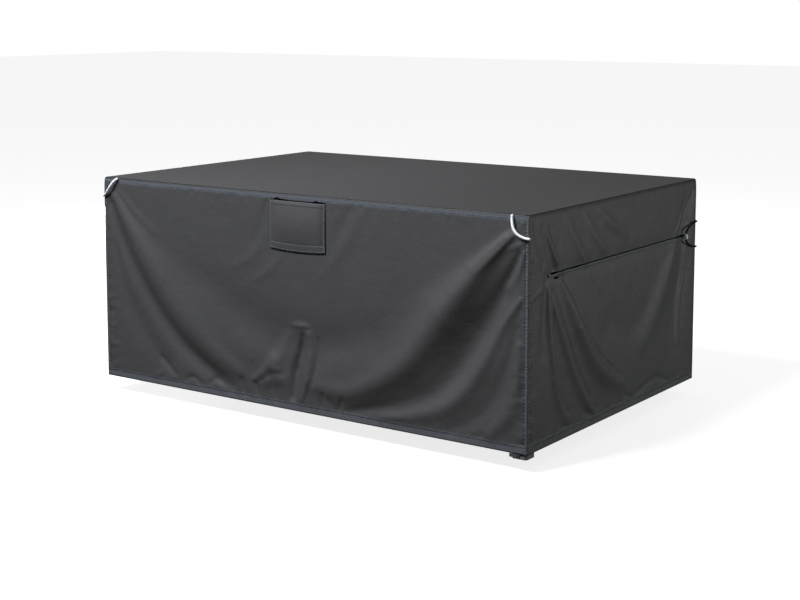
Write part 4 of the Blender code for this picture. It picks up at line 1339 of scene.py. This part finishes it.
class COVER_OT_drawcord(bpy.types.Operator):
    """Make the drawcord channel on the right end, the cord lock and the elastic behind it"""

    bl_idname = "cover.drawcord"
    bl_label = "Drawcord"

    def execute(self, context):
        self.channel()
        self.lock(context.scene.cover_cords)
        self.elastic(context.scene.cover_cords)
        return {"FINISHED"}

    def channel(self):
        depth_share = bpy.context.scene.cover_cloth.fold_depth
        outside = HALF_X + SEAM_GAP + CHANNEL_CLOTH + CHANNEL_LIFT

        def place(y, z):
            share = (CHANNEL_TOP - z) / CHANNEL_HEIGHT
            height, start = CHANNEL_PUFF
            puffed = height * np.sin(math.pi * np.clip((share - start) / (1 - start), 0.0, 1.0))
            depth, middle, reach = CHANNEL_GROOVE
            groove = depth * bell(share - middle, reach)
            out = outside + RIGHT_END.stand(y, z, depth_share) + puffed - groove
            return np.stack((out, y, z), axis=1)

        columns = stations(((CHANNEL_START, 0), (CHANNEL_END, 200)))
        rows = stations(((CHANNEL_TOP, 0), (CHANNEL_TOP - CHANNEL_HEIGHT, 26)))
        turned_end = CHANNEL_START + CHANNEL_TURN
        obj = grid_object(
            "drawcord_channel_cloth", columns, rows, place, RIGHT_END.outward,
            attributes={
                "band": lambda y, z: CHANNEL_BAND_SHARE + (1 - CHANNEL_BAND_SHARE) * smooth_step(
                    (turned_end - y) / 0.002
                ),
            },
        )
        cloth_piece(
            obj, "drawcord_channel", CHANNEL_CLOTH,
            flat=(1.01, 0.016), held="stretched", rests_on=["cover_right_end"],
        )
        self.slit(place)
        self.gap()

    def slit(self, channel_place):
        """Painted shade: a black strip for the shadowed inside of the channel, seen through the
        slit along its top.
        """
        def place(y, share):
            open_by = CHANNEL_SLIT + bumps(y, CHANNEL_GAPES)
            points = channel_place(y, CHANNEL_TOP - share * open_by)
            points[:, 0] += SLIT_LIFT
            points[:, 2] += SLIT_LIFT
            return points

        columns = stations(((CHANNEL_START + CHANNEL_TURN, 0), (CHANNEL_END, 200)))
        self.painted_shade_strip("channel_slit", columns, stations(((0.0, 0), (1.0, 6))), place)

    def gap(self):
        """Painted shadow: a black oval on the end panel for the shadowed gap under the channel's
        near end.
        """
        def place(share, turn):
            angle = math.pi * turn
            y = END_GAP_SHADOW_PLACE[0] + END_GAP_SHADOW_SIZE[0] * np.cos(angle)
            z = END_GAP_SHADOW_PLACE[1] + END_GAP_SHADOW_SIZE[1] * np.sin(angle) * (2 * share - 1)
            return RIGHT_END.place(y, z, 1.0, SLIT_LIFT * 2)

        columns, rows = stations(((0.0, 0), (1.0, 6))), stations(((0.02, 0), (0.98, 24)))
        self.painted_shade_strip("channel_end_gap", columns, rows, place)

    # A black sheet of painted shade laid on the end panel.
    def painted_shade_strip(self, name, columns, rows, place):
        obj = grid_object(name, columns, rows, place, RIGHT_END.outward)
        dress(obj, finish_named("Vent netting", netting_and_shade_finish))
        thicken(obj, SLIT_LIFT)
        keep(obj, None, "elastic_cord")

    def lock(self, cords):
        """A round barrel with a narrower neck on top and eased shoulders."""
        profile = (
            (0.30, 0.500), (0.50, 0.500), (0.585, 0.460), (0.600, 0.400), (0.600, 0.310),
            (0.640, 0.285), (0.86, 0.270), (0.95, 0.215), (1.00, 0.110), (1.00, -0.270),
            (0.96, -0.360), (0.86, -0.430), (0.66, -0.480), (0.45, -0.500), (0.30, -0.500),
        )
        stops = [i / (len(profile) - 1) for i in range(len(profile))]
        radii = np.array([r for r, _ in profile]) * LOCK_RADIUS
        levels = np.array([h for _, h in profile]) * LOCK_HEIGHT

        def place(u, v):
            angle = 2 * math.pi * v
            radius, level = np.interp(u, stops, radii), np.interp(u, stops, levels)
            return np.stack((
                LOCK_PLACE[0] + radius * np.cos(angle),
                LOCK_PLACE[1] + radius * np.sin(angle),
                LOCK_PLACE[2] + level,
            ), axis=1)

        around = [i / 40 for i in range(41)]
        obj = grid_object("lock_body", stops, around, place, joined=True)
        dress(obj, finish_named("Pale moulding", moulding_finish, cords.lock_colour, 0.34))
        soften = obj.modifiers.new("Soft edges", "SUBSURF")
        soften.levels = soften.render_levels = 1
        keep(obj, "cord_lock", "pale_moulding")

    def elastic(self, cords):
        diameter = cords.elastic_diameter
        rubber = finish_named(
            "Elastic braid", braid_finish, cords.elastic_colour, 0.70, 0.10, diameter, 0.0030, 0.05
        )
        look = (diameter, rubber, "elastic_cord")
        for end, route in (("upper", UPPER_ELASTIC), ("lower", LOWER_ELASTIC)):
            make_cord(
                f"elastic_leg_{end}", f"elastic_{end}", route, look, diameter / 2, 16
            )


class COVER_OT_corner_loops(bpy.types.Operator):
    """Make the white cord loops over the two front corners"""

    bl_idname = "cover.corner_loops"
    bl_label = "Corner Loops"

    def execute(self, context):
        cords = context.scene.cover_cords
        diameter = cords.loop_diameter
        white = finish_named(
            "White cord", braid_finish, cords.loop_colour, 0.48, 0.50, diameter, 0.0045, 0.02
        )
        look = (diameter, white, "loop_cord")
        for end, route in (("right", RIGHT_LOOP), ("left", LEFT_LOOP)):
            make_cord(
                f"loop_cord_{end}", f"corner_loop_{end}", route, look, diameter / 3, 20
            )
        return {"FINISHED"}


class COVER_OT_leg_strap(bpy.types.Operator):
    """Make the webbing strap under the near corner and the slide on it"""

    bl_idname = "cover.leg_strap"
    bl_label = "Leg Strap"

    def execute(self, context):
        cords = context.scene.cover_cords
        webbing = finish_named("Strap webbing", webbing_finish, cords.webbing_colour)
        inset = BAND_CLOTH - BAND_EXTRA + STRAP_CLEAR + STRAP_SIZE / 2
        middle = (HALF_X - inset, inset - HALF_Y)
        straight = STRAP_SIZE / 2 - STRAP_CORNER

        def place(turn, level):
            angle = 2 * math.pi * turn
            cos, sin = np.cos(angle), np.sin(angle)
            square = 1.0 / np.maximum(np.abs(cos), np.abs(sin))
            flat_x, flat_y = cos * square, sin * square
            corner_x = np.clip(flat_x * STRAP_SIZE / 2, -straight, straight)
            corner_y = np.clip(flat_y * STRAP_SIZE / 2, -straight, straight)
            away_x, away_y = flat_x * STRAP_SIZE / 2 - corner_x, flat_y * STRAP_SIZE / 2 - corner_y
            length = np.maximum(np.hypot(away_x, away_y), 1e-9)
            x = corner_x + away_x / length * STRAP_CORNER
            y = corner_y + away_y / length * STRAP_CORNER
            share = (level - STRAP_FOOT) / STRAP_HEIGHT
            slack = STRAP_SLACK * np.sin(math.pi * share) ** 2 * (1 + np.sin(angle * 9.0)) / 2
            drawn = 1 - slack / (STRAP_SIZE / 2)
            return np.stack((middle[0] + x * drawn, middle[1] + y * drawn, level), axis=1)

        turns = [i / 128 for i in range(129)]
        levels = stations(((STRAP_FOOT, 0), (STRAP_FOOT + STRAP_HEIGHT, 12)))
        obj = grid_object("leg_strap_webbing", turns, levels, place, outward=(0, 0, 1))
        bm = bmesh.new()
        bm.from_mesh(obj.data)
        bmesh.ops.remove_doubles(bm, verts=bm.verts, dist=1e-6)
        centre = Vector((*middle, STRAP_FOOT + STRAP_HEIGHT / 2))
        bm.normal_update()
        one = bm.faces[:][0]
        if (one.calc_center_median() - centre).dot(one.normal) < 0:
            bmesh.ops.reverse_faces(bm, faces=bm.faces)
        bm.to_mesh(obj.data)
        bm.free()
        stretch_uv(obj, (4 * STRAP_SIZE, 1.0))
        dress(obj, webbing)
        thicken(obj, STRAP_CLOTH)
        keep(obj, "leg_strap", "strap_webbing")
        self.slide(cords)
        return {"FINISHED"}

    def slide(self, cords):
        """A plate with one dark slot, and the end of the strap that comes out beside it."""
        wide, deep, tall = BUCKLE_SIZE
        slot_across, slot_up = BUCKLE_SLOT
        bm = bmesh.new()
        bmesh.ops.create_grid(bm, x_segments=3, y_segments=3, size=0.5)
        across = (-wide / 2, *slot_across, wide / 2)
        up = (-tall / 2, *slot_up, tall / 2)
        for vert in bm.verts:
            column, row = round((vert.co.x + 0.5) * 3), round((vert.co.y + 0.5) * 3)
            vert.co = (across[column], -deep / 2, up[row])
        bm.normal_update()
        if bm.faces[:][0].normal.y > 0:
            bmesh.ops.reverse_faces(bm, faces=bm.faces)
        slot = Vector((sum(slot_across) / 2, -deep / 2, sum(slot_up) / 2))
        nearest = min(bm.faces, key=lambda face: (face.calc_center_median() - slot).length)
        sunk = bmesh.ops.extrude_discrete_faces(bm, faces=[nearest])["faces"][0]
        sunk.material_index = 1
        bmesh.ops.translate(bm, verts=sunk.verts[:], vec=(0, deep * 0.7, 0))
        rim = [edge for edge in bm.edges if edge.is_boundary]
        walls = bmesh.ops.extrude_edge_only(bm, edges=rim)["geom"]
        back = [item for item in walls if isinstance(item, bmesh.types.BMVert)]
        bmesh.ops.translate(bm, verts=back, vec=(0, deep, 0))
        bmesh.ops.holes_fill(bm, edges=[edge for edge in bm.edges if edge.is_boundary])
        tail = bmesh.ops.create_cube(bm, size=1.0)["verts"]
        bmesh.ops.scale(bm, vec=(TAIL_LENGTH, deep * 0.55, tall * 0.86), verts=tail)
        beside = TAIL_OVERLAP - (wide + TAIL_LENGTH) / 2
        bmesh.ops.translate(bm, verts=tail, vec=(beside, 0.0002, 0.0004))
        bmesh.ops.recalc_face_normals(bm, faces=bm.faces)
        bmesh.ops.translate(bm, verts=bm.verts, vec=BUCKLE_PLACE)
        mesh = bpy.data.meshes.new("strap_slide")
        bm.to_mesh(mesh)
        bm.free()
        obj = dress(
            link("strap_slide", mesh),
            finish_named("Dark moulding", moulding_finish, cords.buckle_colour, 0.45),
            finish_named("Slot shadow", netting_and_shade_finish),
        )
        edge = obj.modifiers.new("Eased edges", "BEVEL")
        edge.width = 0.0004
        edge.segments = 2
        edge.limit_method = "ANGLE"
        keep(obj, "strap_buckle", "dark_moulding")


class COVER_OT_stitching(bpy.types.Operator):
    """Sew the rows of stitches on the headings, hems, corners, flap and channel"""

    bl_idname = "cover.stitching"
    bl_label = "Stitching"

    def execute(self, context):
        cloth = context.scene.cover_cloth
        for name, side, levels in (
            ("front", FRONT, (HEADING_STITCHES, HEM_STITCHES)),
            ("back", BACK, (HEADING_STITCHES, HEM_STITCHES)),
            ("right_end", RIGHT_END, (HEM_STITCHES,)),
            ("left_end", LEFT_END, (HEM_STITCHES,)),
        ):
            rows = [self.level_row(side, level, cloth) for level in levels]
            rows += [self.corner_row(side, sign, cloth) for sign in (-1, 1)]
            self.sew(name, rows, cloth.thread)
        self.sew("flap", self.flap_rows(cloth), cloth.thread)
        self.sew("channel", self.channel_rows(cloth), cloth.thread * 0.7)
        return {"FINISHED"}

    def sew(self, name, rows, thickness):
        cloth = bpy.context.scene.cover_cloth
        thread = finish_named("Seam thread", thread_finish, cloth.thread_colour)
        keep(stitch_object(f"stitches_{name}", rows, thickness, thread), None, "seam_binding")

    def level_row(self, side, level, cloth):
        """A row along a side, just above its surface."""
        edge = side.half - PANEL_INSET - 0.002
        lift = cloth.thread * STITCH_LIFT
        return [
            side.place(along, np.full_like(along, level), cloth.fold_depth, lift)
            for along in stitch_ends(-edge, edge, cloth.stitch)
        ]

    def corner_row(self, side, sign, cloth):
        """A row down a side, beside its corner seam."""
        along = sign * (side.half - PANEL_INSET - CORNER_STITCHES)
        lift = cloth.thread * STITCH_LIFT
        return [
            side.place(np.full_like(z, along), z, cloth.fold_depth, lift)
            for z in stitch_ends(-HEADING - 0.004, HEM_TOP - 0.004, cloth.stitch)
        ]

    def flap_rows(self, cloth):
        lift = cloth.thread * STITCH_LIFT
        side_share = 0.5 - FLAP_STITCH_INSET / FLAP_WIDTH
        hem_share = 1.0 - (FLAP_HEM - 0.0020) / FLAP_DROP
        across_ends = stitch_ends(-side_share, side_share, cloth.stitch / FLAP_WIDTH)
        down_ends = stitch_ends(0.015, 0.985, cloth.stitch / FLAP_DROP)
        rows = [
            [flap_place(across, np.full_like(across, level), lift) for across in across_ends]
            for level in (0.012, hem_share, 1.0 - FLAP_FOOT_STITCHES / FLAP_DROP)
        ]
        rows += [
            [flap_place(np.full_like(down, across), down, lift) for down in down_ends]
            for across in (-side_share, side_share)
        ]
        return rows

    def channel_rows(self, cloth):
        lift = SEAM_GAP + CHANNEL_CLOTH + CHANNEL_LIFT + cloth.thread * CHANNEL_STITCH_LIFT
        ends = stitch_ends(CHANNEL_START + 0.004, CHANNEL_END - 0.004, cloth.stitch * 0.8)
        levels = [CHANNEL_TOP - CHANNEL_HEIGHT * share for share in CHANNEL_STITCH_SHARES]
        return [
            [RIGHT_END.place(y, np.full_like(y, level), cloth.fold_depth, lift) for y in ends]
            for level in levels
        ]


# ------------------------------------------------------------------ the stage
CAMERA_PLACE = (3.1922, -4.5367, 0.6305)
CAMERA_AZIMUTH = 35.0907
CAMERA_PITCH = 6.8572
CAMERA_SHIFT = -0.14

# Each light's place, the point that it faces, its width and height, and its colour.
LIGHTS = {
    "key": ((-0.65, -3.1, 3.4), (0.0, -0.4, -0.30), (1.6, 1.2), (0.97, 0.98, 1.0)),
    "end": ((4.6, 2.6, -0.3), (0.9, 0.0, -0.35), (1.8, 0.8), (0.97, 1.0, 0.97)),
    "back": ((-4.4, 3.6, -0.42), (-0.4, 0.3, -0.40), (1.8, 0.6), (0.97, 0.98, 1.0)),
}
WHITE = (1.0, 1.0, 1.0, 1.0)
FLOOR_REACH = 30.0
FLOOR_GLOW = 0.80


def turn_to(obj, place, ahead):
    obj.location = place
    obj.rotation_euler = Vector(ahead).to_track_quat("-Z", "Y").to_euler()


class COVER_OT_stage(bpy.types.Operator):
    """Make the pale floor, the soft studio light and the camera"""

    bl_idname = "cover.stage"
    bl_label = "Stage"

    def execute(self, context):
        stage = context.scene.cover_stage
        self.floor(stage)
        for name, light in LIGHTS.items():
            self.light(f"{name}_light", getattr(stage, f"{name}_power"), *light)
        self.surround(context.scene, stage)
        self.camera(context.scene, stage)
        return {"FINISHED"}

    def light(self, name, power, place, target, size, colour):
        data = bpy.data.lights.new(name, "AREA")
        data.shape = "RECTANGLE"
        data.size, data.size_y = size
        data.energy = power
        data.color = colour
        turn_to(link(name, data), place, Vector(target) - Vector(place))

    def floor(self, stage):
        """A wide floor that glows a little, so that it stays pale, and lights nothing."""
        bm = bmesh.new()
        bmesh.ops.create_grid(bm, x_segments=1, y_segments=1, size=FLOOR_REACH)
        bmesh.ops.translate(bm, verts=bm.verts, vec=(0, 0, -stage.floor_height))
        mesh = bpy.data.meshes.new("floor")
        bm.to_mesh(mesh)
        bm.free()
        f = Finish("Studio floor", stage.floor_colour, 0.8, Specular_IOR_Level=0.1)
        f.shader.inputs["Emission Color"].default_value = WHITE
        f.shader.inputs["Emission Strength"].default_value = FLOOR_GLOW
        obj = dress(link("floor", mesh), f.material)
        obj.visible_diffuse = obj.visible_glossy = False

    def surround(self, scene, stage):
        """Soft light from all round, strongest overhead, and plain white for the camera to see."""
        world = scene.world or bpy.data.worlds.new("Surround")
        scene.world = world
        world.use_nodes = True
        tree = world.node_tree
        tree.nodes.clear()
        light, direction, split, fade, white, seen, mix, output = (
            tree.nodes.new("ShaderNode" + kind) for kind in (
                "Background", "TexCoord", "SeparateXYZ", "MapRange",
                "Background", "LightPath", "MixShader", "OutputWorld",
            )
        )
        light.inputs["Color"].default_value = white.inputs["Color"].default_value = WHITE
        fade.interpolation_type = "SMOOTHSTEP"
        for key, value in (
            ("From Min", -0.1), ("From Max", 0.8),
            ("To Min", stage.below), ("To Max", stage.surround),
        ):
            fade.inputs[key].default_value = value
        for start, end in (
            (direction.outputs["Generated"], split.inputs[0]),
            (split.outputs["Z"], fade.inputs["Value"]),
            (fade.outputs["Result"], light.inputs["Strength"]),
            (seen.outputs["Is Camera Ray"], mix.inputs[0]),
            (light.outputs[0], mix.inputs[1]),
            (white.outputs[0], mix.inputs[2]),
            (mix.outputs[0], output.inputs["Surface"]),
        ):
            tree.links.new(start, end)
        scene.view_settings.view_transform = "Standard"

    def camera(self, scene, stage):
        data = bpy.data.cameras.new("camera")
        data.lens = stage.lens
        data.sensor_width = 36.0
        data.shift_y = CAMERA_SHIFT
        data.clip_start, data.clip_end = 0.1, 100.0
        turn, tilt = math.radians(CAMERA_AZIMUTH), math.radians(CAMERA_PITCH)
        level = math.cos(tilt)
        scene.camera = link("camera", data)
        turn_to(
            scene.camera, CAMERA_PLACE,
            (-math.sin(turn) * level, math.cos(turn) * level, -math.sin(tilt)),
        )


# ------------------------------------------------------------------ the add-on
PIECE_OPERATORS = (
    COVER_OT_top_panel,
    COVER_OT_side_panels,
    COVER_OT_corner_seams,
    COVER_OT_vent_flap,
    COVER_OT_drawcord,
    COVER_OT_corner_loops,
    COVER_OT_leg_strap,
    COVER_OT_stitching,
    COVER_OT_stage,
)


class COVER_PT_sidebar(bpy.types.Panel):
    """The cover's pieces and settings"""

    bl_idname = "COVER_PT_sidebar"
    bl_label = "Patio Furniture Cover"
    bl_space_type = "VIEW_3D"
    bl_region_type = "UI"
    bl_category = "Cover"

    def draw(self, context):
        layout = self.layout
        for name, group in SETTINGS:
            box = layout.box()
            for key in group.__annotations__:
                box.prop(getattr(context.scene, name), key)
        column = layout.column(align=True)
        for operator in PIECE_OPERATORS:
            column.operator(operator.bl_idname)


SETTINGS = (
    ("cover_cloth", CoverClothSettings),
    ("cover_cords", CoverCordSettings),
    ("cover_stage", CoverStageSettings),
)


def register():
    for name, group in SETTINGS:
        bpy.utils.register_class(group)
        setattr(bpy.types.Scene, name, PointerProperty(type=group))
    for cls in (*PIECE_OPERATORS, COVER_PT_sidebar):
        bpy.utils.register_class(cls)


def unregister():
    for cls in (COVER_PT_sidebar, *reversed(PIECE_OPERATORS)):
        bpy.utils.unregister_class(cls)
    for name, group in reversed(SETTINGS):
        delattr(bpy.types.Scene, name)
        bpy.utils.unregister_class(group)


def main():
    register()
    bpy.ops.cover.top_panel()
    bpy.ops.cover.side_panels()
    bpy.ops.cover.corner_seams()
    bpy.ops.cover.vent_flap()
    bpy.ops.cover.drawcord()
    bpy.ops.cover.corner_loops()
    bpy.ops.cover.leg_strap()
    bpy.ops.cover.stitching()
    bpy.ops.cover.stage()


if __name__ == "__main__":
    main()
